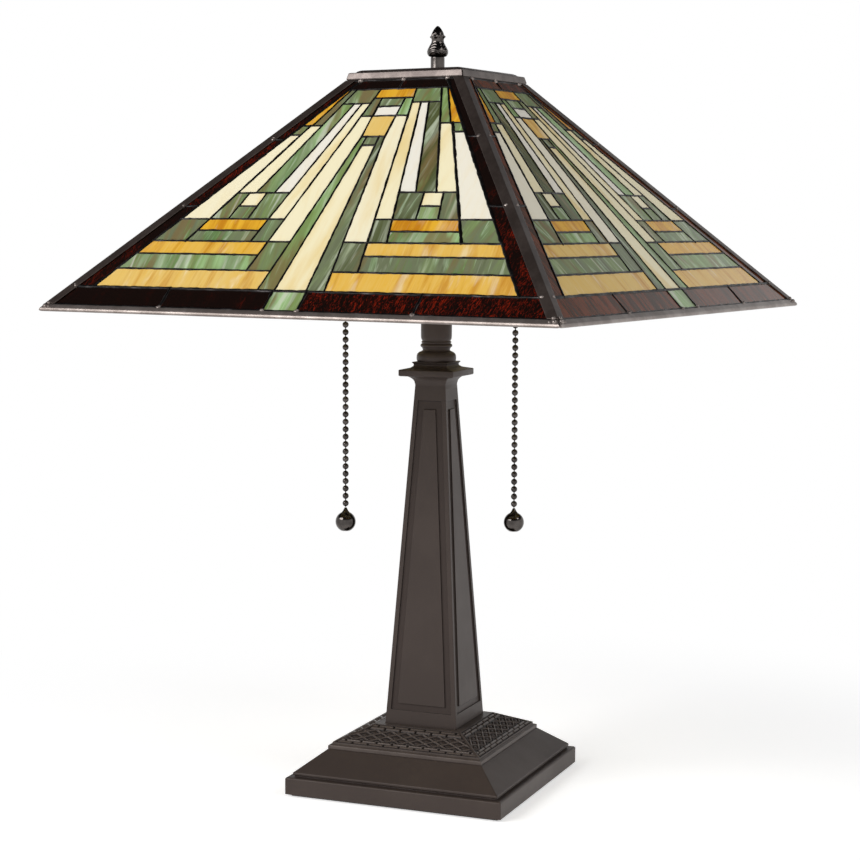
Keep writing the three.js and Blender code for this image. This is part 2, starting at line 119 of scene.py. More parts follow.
class LampColours(PropertyGroup):
    """Colours of the glass and of the metals."""
    amber_pale: tint("Pale amber", "Light streaks of the amber glass", 230, 202, 128)
    amber: tint("Amber", "Body of the amber glass", 230, 176, 50)
    amber_deep: tint("Deep amber", "Dark streaks of the amber glass", 186, 112, 14)
    olive: tint("Olive", "Darkest green panes", 76, 82, 44)
    sage: tint("Sage", "Grey green panes", 112, 120, 92)
    green: tint("Green", "Mid green panes", 124, 148, 86)
    mint: tint("Mint", "Lightest green panes", 172, 208, 152)
    leaf: tint("Leaf", "Clear green streaks", 84, 136, 62)
    wisp: tint("Wisp", "White wisps in the green glass", 200, 202, 184)
    umber: tint("Umber", "Brown streaks in the green glass", 122, 104, 68)
    white: tint("White", "White opal panes", 240, 235, 222)
    cream: tint("Cream", "Cream opal panes", 246, 236, 198)
    honey: tint("Honey", "Warm clouds in the cream glass", 234, 206, 134)
    border: tint("Border", "Body of the border glass", 18, 8, 5)
    chestnut: tint("Chestnut", "Body of the redder border glass", 108, 58, 34)
    ember: tint("Ember", "Flecks in the border glass", 122, 28, 8)
    bronze: tint("Bronze", "Base and column", 62, 53, 49)
    bronze_rubbed: tint("Rubbed bronze", "Raised and handled parts of the bronze", 75, 65, 60)
    came: tint("Came", "Blackened solder lines", 20, 18, 18)
    # A lighter pewter than the bars, as painted light: the bottom rims and the solder drops on the metal are made
    # paler to stand for the light they catch.
    rim_pewter_lit: tint("Pewter", "Bars and rims of the shade", 118, 108, 103)
    nickel: tint("Nickel", "Chains, balls and finial", 66, 62, 60)
    brass: tint("Brass", "Sockets and arms", 176, 138, 74)


class LampStudio(PropertyGroup):
    """Light and camera."""
    daylight: FloatProperty(
        name="Daylight", description="Strength of the even light all round", default=1.0, min=0.0)
    key: FloatProperty(
        name="Key light", description="Power of the large soft light, in watts", default=42.0, min=0.0)
    floor: tint("Floor", "Colour of the floor", 246, 246, 246)
    lens: FloatProperty(
        name="Lens", description="Focal length of the camera", default=85.02, min=1.0,
        subtype="DISTANCE_CAMERA", unit="CAMERA")


# ---------------------------------------------------------------- shader nodes

class Link:
    """A shader output that takes part in sums: each operator adds its Math node."""

    def __init__(self, nodes, socket):
        self.nodes = nodes
        self.socket = socket

    def _math(self, operation, first, second):
        return self.nodes.add("Math", {"operation": operation}, {0: first, 1: second})

    def __add__(self, other):
        return self._math("ADD", self, other)

    def __sub__(self, other):
        return self._math("SUBTRACT", self, other)

    def __rsub__(self, other):
        return self._math("SUBTRACT", other, self)

    def __mul__(self, other):
        return self._math("MULTIPLY", self, other)

    __radd__ = __add__
    __rmul__ = __mul__


class Nodes:
    """Adds nodes to one node tree."""

    def __init__(self, tree):
        self.tree = tree

    def add(self, kind, settings=None, inputs=None, output=0):
        """A node of that kind with its settings, then its sockets' values or links."""
        made = self.tree.nodes.new("ShaderNode" + kind)
        for name, value in (settings or {}).items():
            if name == "stops":
                self.set_stops(made.color_ramp.elements, value)
            else:
                setattr(made, name, value)
        self.fill(made, inputs or {})
        return Link(self, made.outputs[output])

    def fill(self, made, inputs):
        for key, value in inputs.items():
            socket = made.inputs[key]
            if isinstance(value, Link):
                self.tree.links.new(value.socket, socket)
            elif socket.type == "RGBA":
                socket.default_value = (*value, 1.0)
            else:
                socket.default_value = value

    def set_stops(self, elements, stops):
        while len(elements) < len(stops):
            elements.new(1.0)
        for element, (place, colour) in zip(elements, stops):
            element.position = place
            element.color = (*colour, 1.0)

    def place(self):
        """Where a point of the piece is, in metres."""
        return self.add("TexCoord", output=3)

    def stretch(self, vector, *factors):
        return self.add("VectorMath", {"operation": "MULTIPLY"}, {0: vector, 1: factors})

    def noise(self, vector, scale=1.0, detail=3.0, roughness=0.55, distortion=0.0):
        return self.add("TexNoise", None, {
            "Vector": vector, "Scale": scale, "Detail": detail, "Roughness": roughness,
            "Distortion": distortion})

    def between(self, value, low, high):
        """0 up to low, 1 from high, and smooth between them."""
        return self.add("MapRange", {"interpolation_type": "SMOOTHSTEP"}, {
            "Value": value, "From Min": low, "From Max": high})

    def mix(self, factor, first, second):
        return self.add("Mix", {"data_type": "RGBA"}, {0: factor, 6: first, 7: second}, output=2)


class Finish(Nodes):
    """One material. What is the same all over is set on the shader's own sockets."""

    def __init__(self, name, **surface):
        self.material = bpy.data.materials.new(name)
        self.material.use_nodes = True
        super().__init__(self.material.node_tree)
        self.shader = self.tree.nodes["Principled BSDF"]
        self.surface(**surface)

    def surface(self, **inputs):
        self.fill(self.shader, {key.replace("_", " "): value for key, value in inputs.items()})

    def bump(self, height, depth, strength=1.0):
        """Dents of that depth in millimetres, from a height between 0 and 1."""
        return self.add("Bump", None, {"Strength": strength, "Distance": depth * MM, "Height": height})


# ---------------------------------------------------------------- finishes

def ends_of(node):
    """The lowest and highest level of a square piece, each with its half width there, in millimetres."""
    corners = [v.co / MM for v in NODES[node].data.vertices]
    levels = min(p.z for p in corners), max(p.z for p in corners)
    return [(level, max(p.x for p in corners if abs(p.z - level) < SAME)) for level in levels]


COLUMN_ENDS = ends_of("column")
CHANNEL_HEAD = (COLUMN_ENDS[0][0] + 239.5) * MM  # top of the sunk channels: their length above the column's foot


def grain_and_tone(finish):
    """A pane's own axes, in metres across and along its streaks, and its tone, from 0 to 1 or a little more."""
    grain = finish.add("Attribute", {"attribute_name": "grain"}, output=1)
    tone = finish.add("Attribute", {"attribute_name": "tone"}, output=2)
    return grain, tone


def polish_glass(finish, grain, colour, roughness, gleam=0.5):
    """Rolled art glass: a glossy face with very shallow ripples."""
    ripple = finish.noise(finish.stretch(grain, 120, 50, 1), detail=1.5)
    seeds = finish.noise(finish.stretch(grain, 700, 500, 1), detail=2)
    finish.surface(
        Base_Color=colour, Roughness=roughness + 0.06 * seeds, Specular_IOR_Level=gleam,
        Normal=finish.bump(ripple + 0.1 * seeds, 0.1, 0.5))


def amber_glass(colours):
    """Golden glass with dark streaks and pale wisps."""
    finish = Finish("amber_glass", IOR=1.52)
    grain, tone = grain_and_tone(finish)
    broad = finish.noise(finish.stretch(grain, 85, 8, 1), detail=3, roughness=0.6, distortion=0.6)
    fine = finish.noise(finish.stretch(grain, 260, 24, 1), detail=4, roughness=0.65, distortion=0.9)
    cloud = finish.noise(finish.stretch(grain, 60, 22, 1), detail=2.5, distortion=0.4)
    body = finish.mix(finish.between(tone + 0.5 * (fine - 0.5), 0.05, 0.75), colours.amber_pale, colours.amber)
    streaks = finish.between(broad + 0.22 * tone + 0.25 * (fine - 0.5), 0.56, 0.82)
    body = finish.mix((0.45 + 0.4 * tone) * streaks, body, colours.amber_deep)
    wisps = finish.between(cloud + 0.5 * (fine - 0.5), 0.54, 0.74) * (1 - 0.75 * tone)
    body = finish.mix(0.9 * wisps, body, linear(242, 228, 190))
    polish_glass(finish, grain, body, 0.05)
    return finish


def green_glass(colours):
    """Wispy glass: each pane has its own green, streaked with brown, white and clear green."""
    finish = Finish("green_glass", IOR=1.52)
    grain, tone = grain_and_tone(finish)
    broad = finish.noise(finish.stretch(grain, 75, 9, 1), detail=3, roughness=0.6, distortion=1.0)
    fine = finish.noise(finish.stretch(grain, 165, 17, 1), detail=3, roughness=0.6, distortion=0.8)
    cloud = finish.noise(finish.stretch(grain, 48, 12, 1), detail=2.5, distortion=0.8)
    drift = finish.noise(finish.stretch(grain, 30, 7, 2), detail=2)
    shade = tone + 1.1 * (broad - 0.5) + 0.35 * (fine - 0.5)
    body = finish.add("ValToRGB", {"stops": (
        (0.0, colours.olive), (0.35, colours.sage), (0.65, colours.green), (1.0, colours.mint))}, {0: shade})
    body = finish.mix(0.6 * finish.between(drift, 0.5, 0.62), body, colours.sage)
    body = finish.mix(0.8 * finish.between(cloud + 0.3 * (fine - 0.5), 0.5, 0.66), body, colours.umber)
    body = finish.mix(0.65 * finish.between(fine + 0.4 * (drift - 0.5), 0.53, 0.68), body, colours.leaf)
    body = finish.mix(0.6 * finish.between(fine - 0.5 * (cloud - 0.5), 0.54, 0.74), body, colours.wisp)
    wisps = finish.between(broad + 0.5 * fine, 0.78, 1.0)
    body = finish.mix((0.25 + 0.6 * tone) * wisps, body, colours.wisp)
    polish_glass(finish, grain, body, 0.05)
    return finish


def cream_glass(colours):
    """Opal glass from white to cream, with warm clouds in the creamy panes."""
    finish = Finish("cream_glass", IOR=1.52)
    grain, tone = grain_and_tone(finish)
    broad = finish.noise(finish.stretch(grain, 50, 9, 1), detail=2.5, distortion=0.6)
    fine = finish.noise(finish.stretch(grain, 180, 26, 1), detail=4, roughness=0.6)
    body = finish.mix(finish.between(tone, 0.05, 0.55), colours.white, colours.cream)
    warm = finish.between(broad + 0.45 * tone + 0.2 * (fine - 0.5), 0.72, 1.05)
    body = finish.mix(0.75 * warm, body, colours.honey)
    body = finish.mix(0.14 * finish.between(fine, 0.45, 0.7), body, colours.honey)
    polish_glass(finish, grain, body, 0.07)
    return finish


def border_glass(colours):
    """Nearly black glass with red flecks, and brown streaked glass in the reddest panes."""
    finish = Finish("border_glass", IOR=1.52)
    grain, tone = grain_and_tone(finish)
    fleck = finish.noise(finish.stretch(grain, 640, 190, 1), detail=4, roughness=0.7, distortion=1.4)
    patch = finish.noise(finish.stretch(grain, 75, 30, 1), detail=2)
    embers = finish.between(fleck + 0.25 * (patch - 0.5), 0.49, 0.7)
    depth = finish.between(patch + 1.1 * tone, 0.45, 1.35)
    streaks = finish.noise(finish.stretch(grain, 210, 26, 1), detail=3, distortion=0.7)
    chestnut = finish.mix(finish.between(streaks, 0.38, 0.62), colours.chestnut, linear(56, 40, 26))
    # The browner panes are mostly those of the right side, where the brown is painted reflection.
    brown = finish.between(tone, 0.8, 1.05)
    body = finish.mix(brown, colours.border, chestnut)
    body = finish.mix(embers * depth * (1 - 0.65 * brown), body, colours.ember)
    polish_glass(finish, grain, body, 0.05, 0.26)
    return finish


def bronze(colours, name="bronze_casting", in_hollows=None):
    """Dark cast bronze, a little lighter where hands and cloths have rubbed it."""
    finish = Finish(name, Metallic=0.24, IOR=1.5, Specular_IOR_Level=0.24)
    place = finish.place()
    cloud = finish.noise(place, 18, 3)
    grit = finish.noise(place, 1400, 3, 0.6)
    sweep = finish.noise(finish.stretch(place, 1, 1, 0.25), 130, 3)
    rubbed = finish.between(cloud + 0.2 * sweep, 0.45, 0.9)
    body = finish.mix(0.45 * rubbed, colours.bronze, colours.bronze_rubbed)
    if in_hollows:
        body = in_hollows(finish, place, body)
    finish.surface(
        Base_Color=body,
        Roughness=0.46 - 0.06 * rubbed + 0.1 * (grit - 0.5),
        Normal=finish.bump(grit + 0.2 * sweep, 0.025, 0.5))
    return finish


def column_bronze(colours):
    """The same bronze with painted shade in the sunk channels: their floors darker, partly dark wax and partly
    painted shade, darkest against their walls as painted shade and under their upper edge as painted shadow.
    """
    def painted_channel_shade(finish, place, body):
        apart = [finish.add("Math", {"operation": "ABSOLUTE"}, {
            0: finish.add("SeparateXYZ", None, {0: place}, output=i)}) for i in (0, 1)]
        reach = finish.add("Math", {"operation": "MAXIMUM"}, {0: apart[0], 1: apart[1]})
        height = finish.add("SeparateXYZ", None, {0: place}, output=2)
        (foot, foot_half), (head, head_half) = COLUMN_ENDS
        taper = (foot_half - head_half) / (head - foot)
        sunk = (foot_half + foot * taper) * MM - taper * height - reach
        # The channels' floors are painted darker, partly as dark wax and partly as painted shade; their walls get
        # painted shade, and the strip under their upper edge a painted shadow.
        floor = finish.between(sunk, 0.5 * MM, 1.1 * MM)
        painted_wall_shade = finish.between(sunk, 0.12 * MM, 0.4 * MM) * (1 - floor)
        painted_edge_shadow = floor * finish.between(height, CHANNEL_HEAD - 1.2 * MM, CHANNEL_HEAD - 0.5 * MM)
        body = finish.mix(0.4 * floor, body, linear(46, 35, 31))
        return finish.mix(0.9 * painted_wall_shade + 0.8 * painted_edge_shadow, body, linear(18, 14, 13))
    return bronze(colours, "bronze_column", painted_channel_shade)


def relief_bronze(colours):
    """The same bronze with the pattern's hollows left dark and its tops rubbed."""
    finish = Finish("bronze_relief", Metallic=0.3, IOR=1.5, Specular_IOR_Level=0.3)
    place = finish.place()
    grit = finish.noise(place, 1400, 3, 0.6)
    cloud = finish.noise(place, 60, 3)
    height = finish.add("Attribute", {"attribute_name": "relief"}, output=2)
    body = finish.mix(finish.between(height, 0.0, 0.5), linear(24, 19, 17), colours.bronze)
    tops = finish.between(height + 0.25 * cloud, 0.7, 1.1)
    finish.surface(
        Base_Color=finish.mix(0.8 * tops, body, linear(96, 86, 80)),
        Roughness=0.48 - 0.12 * tops + 0.1 * (grit - 0.5),
        Normal=finish.bump(grit, 0.03, 0.5))
    return finish


def came(colours):
    """Lumpy solder under black patina, worn to metal in places."""
    finish = Finish("blackened_solder", Metallic=0.85)
    place = finish.place()
    lumps = finish.noise(place, 320, 3, 0.6)
    patina = finish.noise(place, 70, 3)
    worn = finish.between(patina + 0.4 * lumps, 0.66, 0.95)
    finish.surface(
        Base_Color=finish.mix(0.45 * worn, colours.came, linear(80, 76, 76)),
        Roughness=0.4 - 0.12 * worn,
        Normal=finish.bump(lumps, 0.14, 0.8))
    return finish


def brushed_pewter(name, dark, light):
    """Brushed grey metal with a cloudy patina between two tones."""
    finish = Finish(name, Metallic=0.75)
    place = finish.place()
    patina = finish.noise(place, 45, 4, 0.6)
    brushed = finish.noise(finish.stretch(place, 1, 1, 0.3), 420, 3, 0.6)
    bright = finish.between(patina + 0.3 * brushed, 0.5, 0.9)
    finish.surface(
        Base_Color=finish.mix(0.6 * bright, dark, light),
        Roughness=0.36 - 0.06 * bright + 0.08 * (brushed - 0.5),
        Normal=finish.bump(patina + 0.35 * brushed, 0.06, 0.5))
    return finish


def nickel(colours):
    """Polished dark nickel with a faint haze."""
    finish = Finish("dark_nickel", Metallic=1.0)
    place = finish.place()
    haze = finish.noise(place, 130, 3)
    hairlines = finish.noise(finish.stretch(place, 1, 1, 0.2), 2600, 2)
    finish.surface(
        Base_Color=finish.mix(finish.between(haze, 0.35, 0.7), colours.nickel, linear(92, 87, 84)),
        Roughness=0.07 + 0.07 * haze,
        Normal=finish.bump(hairlines, 0.008, 0.3))
    return finish


def plain_metal(name, dark, light, roughness):
    """Turned or drawn metal with light tool marks and a cloudy surface."""
    finish = Finish(name, Metallic=0.95)
    place = finish.place()
    cloud = finish.noise(place, 60, 4, 0.6)
    marks = finish.noise(finish.stretch(place, 1, 1, 9), 260, 2)
    finish.surface(
        Base_Color=finish.mix(finish.between(cloud, 0.35, 0.7), dark, light),
        Roughness=roughness + 0.12 * cloud,
        Normal=finish.bump(marks, 0.02, 0.4))
    return finish


def matt(name, dark, light, scale, depth, roughness):
    """A plain hard or soft material with a fine grain."""
    finish = Finish(name)
    place = finish.place()
    coarse = finish.noise(place, scale / 8, 2)
    grain = finish.noise(place, scale, 4, 0.65)
    finish.surface(
        Base_Color=finish.mix(finish.between(grain + 0.4 * coarse, 0.5, 0.9), dark, light),
        Roughness=roughness - 0.1 * grain,
        Normal=finish.bump(grain, depth, 0.6))
    return finish


def frosted(colours):
    """The white frosted glass of the bulbs."""
    finish = matt("bulb_glass", linear(232, 230, 222), linear(246, 245, 240), 900, 0.01, 0.4)
    finish.surface(Coat_Weight=0.3)
    return finish


FINISHES = {
    "amber": amber_glass, "green": green_glass, "cream": cream_glass, "border": border_glass,
    "bronze": bronze, "column": column_bronze, "relief": relief_bronze,
    "came": came, "nickel": nickel, "bulb": frosted,
    "hip": lambda colours: brushed_pewter("pewter_bar", linear(74, 64, 59), linear(112, 100, 94)),
    "crown": lambda colours: brushed_pewter("pewter_crown", linear(80, 72, 69), linear(120, 110, 105)),
    # The rims' pewter is paler than the bars', as painted light.
    "rim": lambda colours: brushed_pewter("pewter_rim_lit", colours.rim_pewter_lit, linear(168, 158, 152)),
    "brass": lambda colours: plain_metal("aged_brass", linear(112, 82, 40), colours.brass, 0.26),
    "steel": lambda colours: plain_metal("zinc_steel", linear(120, 122, 124), linear(176, 178, 180), 0.3),
    "iron": lambda colours: plain_metal("cast_iron", linear(38, 36, 35), linear(62, 58, 55), 0.62),
    "felt": lambda colours: matt("felt", linear(28, 27, 25), linear(58, 56, 52), 1500, 0.25, 1.0),
    "phenolic": lambda colours: matt("phenolic", linear(24, 21, 19), linear(40, 35, 31), 700, 0.03, 0.5),
    "card": lambda colours: matt("insulating_card", linear(140, 110, 74), linear(172, 142, 98), 500, 0.06, 0.95),
    "rubber": lambda colours: matt("rubber", linear(22, 22, 22), linear(34, 34, 34), 900, 0.03, 0.75),
}
ready = {}  # materials made so far


def finish_of(name):
    """The material of that finish, made when it is first asked for."""
    if name not in ready:
        ready[name] = FINISHES[name](bpy.context.scene.lamp_colours).material
    return ready[name]


# ---------------------------------------------------------------- making pieces

def place_piece(name, bm, finishes, slot, body, *nodes, crease=32):
    """A finished mesh becomes a piece that rides on a body and stands for these nodes."""
    bmesh.ops.recalc_face_normals(bm, faces=bm.faces)
    mesh = bpy.data.meshes.new(name)
    bm.to_mesh(mesh)
    bm.free()
    for finish in finishes:
        mesh.materials.append(finish_of(finish))
    mesh.shade_smooth()
    mesh.set_sharp_from_angle(angle=math.radians(crease))
    piece = bpy.data.objects.new(name, mesh)
    bpy.context.scene.collection.objects.link(piece)
    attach(piece, body)
    if nodes:
        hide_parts(*nodes)
    return piece


def stand_in(name, bm, finish, slot, node, crease=32):
    """A piece that replaces one node and rides on that node's body."""
    return place_piece(name, bm, (finish,), slot, NODES[node]["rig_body"], node, crease=crease)


def skin(bm, loops, closed=False):
    """Joins rings of points, in millimetres, with faces. A ring of one point is a pole."""
    rings = [[bm.verts.new(Vector(point) * MM) for point in loop] for loop in loops]
    following = rings[1:] + (rings[:1] if closed else [])
    for low, high in zip(rings, following):
        count = max(len(low), len(high))
        for i in range(count):
            j = (i + 1) % count
            corners = (low[i % len(low)], low[j % len(low)], high[j % len(high)], high[i % len(high)])
            bm.faces.new(dict.fromkeys(corners))
    return rings


def arc(centre, height, radius, start, end, steps=6):
    """Points [radius, height] on a circle of a profile, from one angle to another in degrees."""
    angles = [math.radians(start + (end - start) * i / steps) for i in range(steps + 1)]
    return [(centre + radius * math.cos(a), height + radius * math.sin(a)) for a in angles]


def round_loop(centre, radius, height, sides, shaping=None):
    """A level ring of points. Shaping gives what is added to the radius at an angle."""
    if radius == 0:
        return [(centre[0], centre[1], height)]
    loop = []
    for i in range(sides):
        angle = 2 * math.pi * i / sides
        reach = radius + (shaping(angle) if shaping else 0)
        loop.append((centre[0] + reach * math.cos(angle), centre[1] + reach * math.sin(angle), height))
    return loop


def turn(bm, profile, centre, sides, closed):
    """A profile of (radius, height) turned about an upright axis."""
    skin(bm, [round_loop(centre, r, z, sides) for r, z in profile], closed)


def turned_piece(name, profile, finish, slot, node, centre=(0, 0), sides=48, closed=False, crease=32):
    """A turned piece that replaces one node."""
    bm = bmesh.new()
    turn(bm, profile, centre, sides, closed)
    stand_in(name, bm, finish, slot, node, crease)


def square_loop(half, height, corner, steps=4):
    """A square ring with rounded corners."""
    corner = min(corner, half * 0.9)
    loop = []
    for quarter in range(4):
        middle = Matrix.Rotation(quarter * math.pi / 2, 2) @ Vector((half - corner, half - corner))
        for i in range(steps + 1):
            angle = math.pi / 2 * (quarter + i / steps)
            loop.append((middle.x + corner * math.cos(angle), middle.y + corner * math.sin(angle), height))
    return loop


def middle_of(node):
    """The middle of a node seen from above, in millimetres."""
    low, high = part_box(node)
    return (low.x + high.x) / 2 / MM, (low.y + high.y) / 2 / MM


def span_of(node):
    """A node's lowest and highest point, in millimetres."""
    low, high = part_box(node)
    return low.z / MM, high.z / MM


def dress(node, finish, edge=None):
    """A node that is kept gets its finish, and rounded edges where a size is given."""
    piece = NODES[node]
    for material_slot in piece.material_slots:
        material_slot.material = finish_of(finish)
    if edge is None:
        return
    weld = piece.modifiers.new("weld", "WELD")
    weld.merge_threshold = 0.002 * MM
    flats = piece.modifiers.new("flats", "DECIMATE")
    flats.decimate_type = "DISSOLVE"
    flats.angle_limit = math.radians(0.5)
    rounding = piece.modifiers.new("rounding", "BEVEL")
    rounding.width = edge
    rounding.segments = 3
    rounding.limit_method = "ANGLE"
    rounding.angle_limit = math.radians(20)
    shading = piece.modifiers.new("shading", "WEIGHTED_NORMAL")
    shading.weight = 90


# ---------------------------------------------------------------- the shade's sides

SHADE_TURN = math.radians(-8)
IN_SHADE = Matrix.Rotation(-SHADE_TURN, 3, "Z")


def corners_in_shade(node):
    """A node's corners in millimetres, with the shade turned square to the axes."""
    return [IN_SHADE @ v.co / MM for v in NODES[node].data.vertices]


LOWER_RIM, UPPER_RIM = corners_in_shade("bottom_rim_front"), corners_in_shade("top_rim_front")
MOUTH_HALF = max(-p.y for p in LOWER_RIM)
MOUTH_FOOT = max(p.z for p in LOWER_RIM if -p.y > MOUTH_HALF - SAME)
CROWN_HEAD = max(p.z for p in UPPER_RIM)
CROWN_HALF = min(abs(p.y) for p in UPPER_RIM if p.z > CROWN_HEAD - SAME)
RUN = MOUTH_HALF - CROWN_HALF
RISE = CROWN_HEAD - MOUTH_FOOT
SLANT = math.hypot(RUN, RISE)
GLASS_FACE = -1.1  # below the outer face of the metal
GLASS_BACK = -4.1
GLASS_FOOT = 4.9  # up the slope
GLASS_HEAD = SLANT - 7.3
HIP_GAP = 5.5  # from the glass to the hip, across


class Side:
    """Axes of one side: across, up the slope and outwards, from the middle of its foot.

    The glass was set by hand, so the middle of the design wanders a little to one side at the foot.
    """
    DRIFTS = (-3.2, 2.4, -1.2, 1.8)

    def __init__(self, quarter):
        self.drift = self.DRIFTS[quarter]
        self.axes = Matrix.Rotation(SHADE_TURN + quarter * math.pi / 2, 4, "Z") @ Matrix((
            (1, 0, 0, 0),
            (0, RUN / SLANT, -RISE / SLANT, -MOUTH_HALF),
            (0, RISE / SLANT, RUN / SLANT, MOUTH_FOOT),
            (0, 0, 0, 1),
        ))

    def __matmul__(self, point):
        to_hip = max(0.0, 1 - abs(point.x) / across("hip", point.y))
        return self.axes @ Vector((
            point.x + self.drift * to_hip * (1 - point.y / SLANT), point.y, point.z))


# Each line of the design: the places (up the slope, across) that it runs through, on the right half.
LINES = {
    "middle": ((0, 0), (232, 0)),
    "square": ((0, 13.4), (232, 13.4)),
    "joint": ((0, 99), (232, 99)),
    "first": ((0, 13.6), (232, 1.5)),
    "second": ((0, 28.9), (166.5, 9.5), (232, 9.5)),
    "third": ((0, 50.6), (232, 11.6)),
    "fourth": ((0, 69.1), (232, 16.8)),
    "fifth": ((0, 90.2), (232, 20.9)),
    "sixth": ((0, 113.6), (232, 28.2)),
    "seventh": ((0, 139.6), (232, 33.1)),
    "inner_light": ((87.5, 67.0), (112.5, 63.0)),
    "outer_light": ((87.5, 83.5), (112.5, 77.5)),
    "sliver": ((178, 56.5), (214.5, 39.5)),
    "frame": ((0, 181.2), (232, 30.2)),
    "hip": ((0, MOUTH_HALF - HIP_GAP), (SLANT, CROWN_HALF - HIP_GAP)),
}

# Panes across the middle: glass, tone, outer line, foot and head up the slope.
MIDDLE_PANES = (
    ("green", 0.8, "square", GLASS_FOOT, 22.5),
    ("cream", 0.85, "first", 22.5, 158.0),
    ("green", 0.35, "first", 158.0, 166.5),
    ("amber", 0.3, "second", 166.5, 187.0),
    ("cream", 0.0, "second", 187.0, 196.5),
    ("green", 0.45, "second", 196.5, 205.0),
    ("amber", 0.8, "third", 205.0, 214.5),
)

# Panes in pairs: glass, tones of the right and left one, inner and outer line, foot and head.
PAIRED_PANES = (
    ("border", (0.95, 0.2), "square", "joint", GLASS_FOOT, 22.5),
    ("border", (0.9, 0.1), "joint", "hip", GLASS_FOOT, 22.5),
    ("border", (0.6, 0.3), "frame", "hip", 22.5, 100.0),
    ("border", (0.2, 0.5), "frame", "hip", 100.0, 165.0),
    ("border", (0.1, 0.4), "frame", "hip", 165.0, GLASS_HEAD),
    ("border", (0.1, 0.15), "middle", "frame", 214.5, GLASS_HEAD),
    ("green", (0.35, 0.72), "first", "second", 22.5, 166.5),
    ("amber", (0.5, 0.35), "second", "frame", 22.5, 40.0),
    ("green", (0.3, 0.5), "second", "third", 40.0, 66.5),
    ("green", (0.42, 0.82), "third", "frame", 40.0, 54.3),
    ("amber", (0.45, 0.55), "third", "frame", 54.3, 66.5),
    ("cream", (0.4, 0.5), "second", "third", 66.5, 187.0),
    ("green", (0.2, 0.5), "third", "fourth", 66.5, 87.5),
    ("green", (0.9, 0.4), "fourth", "seventh", 66.5, 76.7),
    ("amber", (0.9, 0.75), "fourth", "seventh", 76.7, 87.5),
    ("green", (0.5, 0.38), "seventh", "frame", 66.5, 87.5),
    ("cream", (0.8, 0.6), "third", "fourth", 87.5, 200.0),
    ("green", (0.22, 0.62), "fourth", "inner_light", 87.5, 112.5),
    ("green", (0.75, 0.42), "inner_light", "outer_light", 87.5, 99.8),
    ("cream", (0.6, 0.55), "inner_light", "outer_light", 99.8, 112.5),
    ("green", (0.32, 0.55), "outer_light", "seventh", 87.5, 112.5),
    ("cream", (0.08, 0.12), "fourth", "fifth", 112.5, 200.0),
    ("green", (0.02, 0.78), "fifth", "sixth", 112.5, 200.0),
    ("cream", (0.55, 0.5), "sixth", "seventh", 112.5, 178.5),
    ("cream", (0.2, 0.42), "seventh", "frame", 87.5, 169.5),
    ("green", (0.6, 0.5), "seventh", "frame", 169.5, 178.5),
    ("green", (0.66, 0.48), "sixth", "sliver", 178.5, 214.5),
    ("amber", (0.95, 0.85), "sliver", "frame", 178.5, 214.5),
    ("green", (0.9, 0.45), "second", "third", 187.0, 205.0),
    ("green", (0.6, 0.55), "third", "sixth", 200.0, 214.5),
)
GLASSES = ("amber", "green", "cream", "border")
# Painted reflection: the border glass of each side is made browner by these amounts, most on the right side, where
# the light lays a brown haze over it.
BORDER_PAINTED_HAZE = (-0.15, 0.9, 0.0, 0.2)  # how much redder the border glass of each side is
TONE_STRAY = 0.16  # how far a pane's tone strays from the first side's
TONE_SEED, PANE_SEED, CAME_SEED = 40, 7, 90
REDDEST = 1.5  # highest tone
CUT_BACK = 0.3  # from the middle of a line to the glass
LEAN = 0.1  # how far a pane's edge lies out of level
STREAK_TURN = 0.16  # how far a pane's streaks are turned, in radians

# Where a line ends on the metal and is soldered to it: line, and place up the slope.
SOLDERED = (
    ("square", GLASS_FOOT), ("joint", GLASS_FOOT), ("hip", 22.5), ("hip", 100.0), ("hip", 165.0),
    ("middle", GLASS_HEAD), ("frame", GLASS_HEAD),
)

# Drops over the shade's bottom corners: in from the corner, up the slope, share of the solder radius.
CORNER_DROPS = ((5.2, 2.6, 0.9), (6.8, 5.4, 0.75), (8.4, 2.2, 0.6))
CORNER_HEIGHT = 1.3


def across(line, up):
    """How far from the middle a line is, at a place up the slope."""
    points = LINES[line]
    for (low, at_low), (high, at_high) in zip(points, points[1:]):
        if up <= high or (high, at_high) == points[-1]:
            return at_low + (at_high - at_low) * (up - low) / (high - low)


def run_of_line(line, foot, head, sign):
    """The points of a line between two heights, its bends included."""
    bends = [up for up, _ in LINES[line] if foot < up < head]
    return [Vector((sign * across(line, up), up)) for up in (foot, *bends, head)]


def panes_of_side(quarter):
    """Every pane of a side: glass, tone and outline. The other sides vary the first one's tones."""
    chance = random.Random(TONE_SEED + quarter)
    swap = quarter % 2 == 1
    stray = 0.0 if quarter == 0 else TONE_STRAY
    for glass, tone, line, foot, head in MIDDLE_PANES:
        outline = run_of_line(line, foot, head, 1) + run_of_line(line, foot, head, -1)[::-1]
        yield glass, tone + chance.uniform(-stray, stray), outline
    for glass, tones, inner, outer, foot, head in PAIRED_PANES:
        for sign, tone in zip((1, -1), tones[::-1] if swap else tones):
            outline = run_of_line(outer, foot, head, sign) + run_of_line(inner, foot, head, sign)[::-1]
            if sign < 0:
                outline.reverse()
            if glass == "border":
                # Border panes are browned side by side, as painted reflection.
                tone += BORDER_PAINTED_HAZE[quarter]
            yield glass, tone + chance.uniform(-stray, stray), outline


def inset(outline, amount):
    """The outline, run anticlockwise, drawn in on every side."""
    drawn = []
    for before, here, after in zip(outline[-1:] + outline, outline, outline[1:] + outline[:1]):
        first, second = (here - before).normalized(), (after - here).normalized()
        to_first, to_second = Vector((-first.y, first.x)), Vector((-second.y, second.x))
        drawn.append(here + (to_first + to_second) * (amount / (1 + to_first.dot(to_second))))
    return drawn


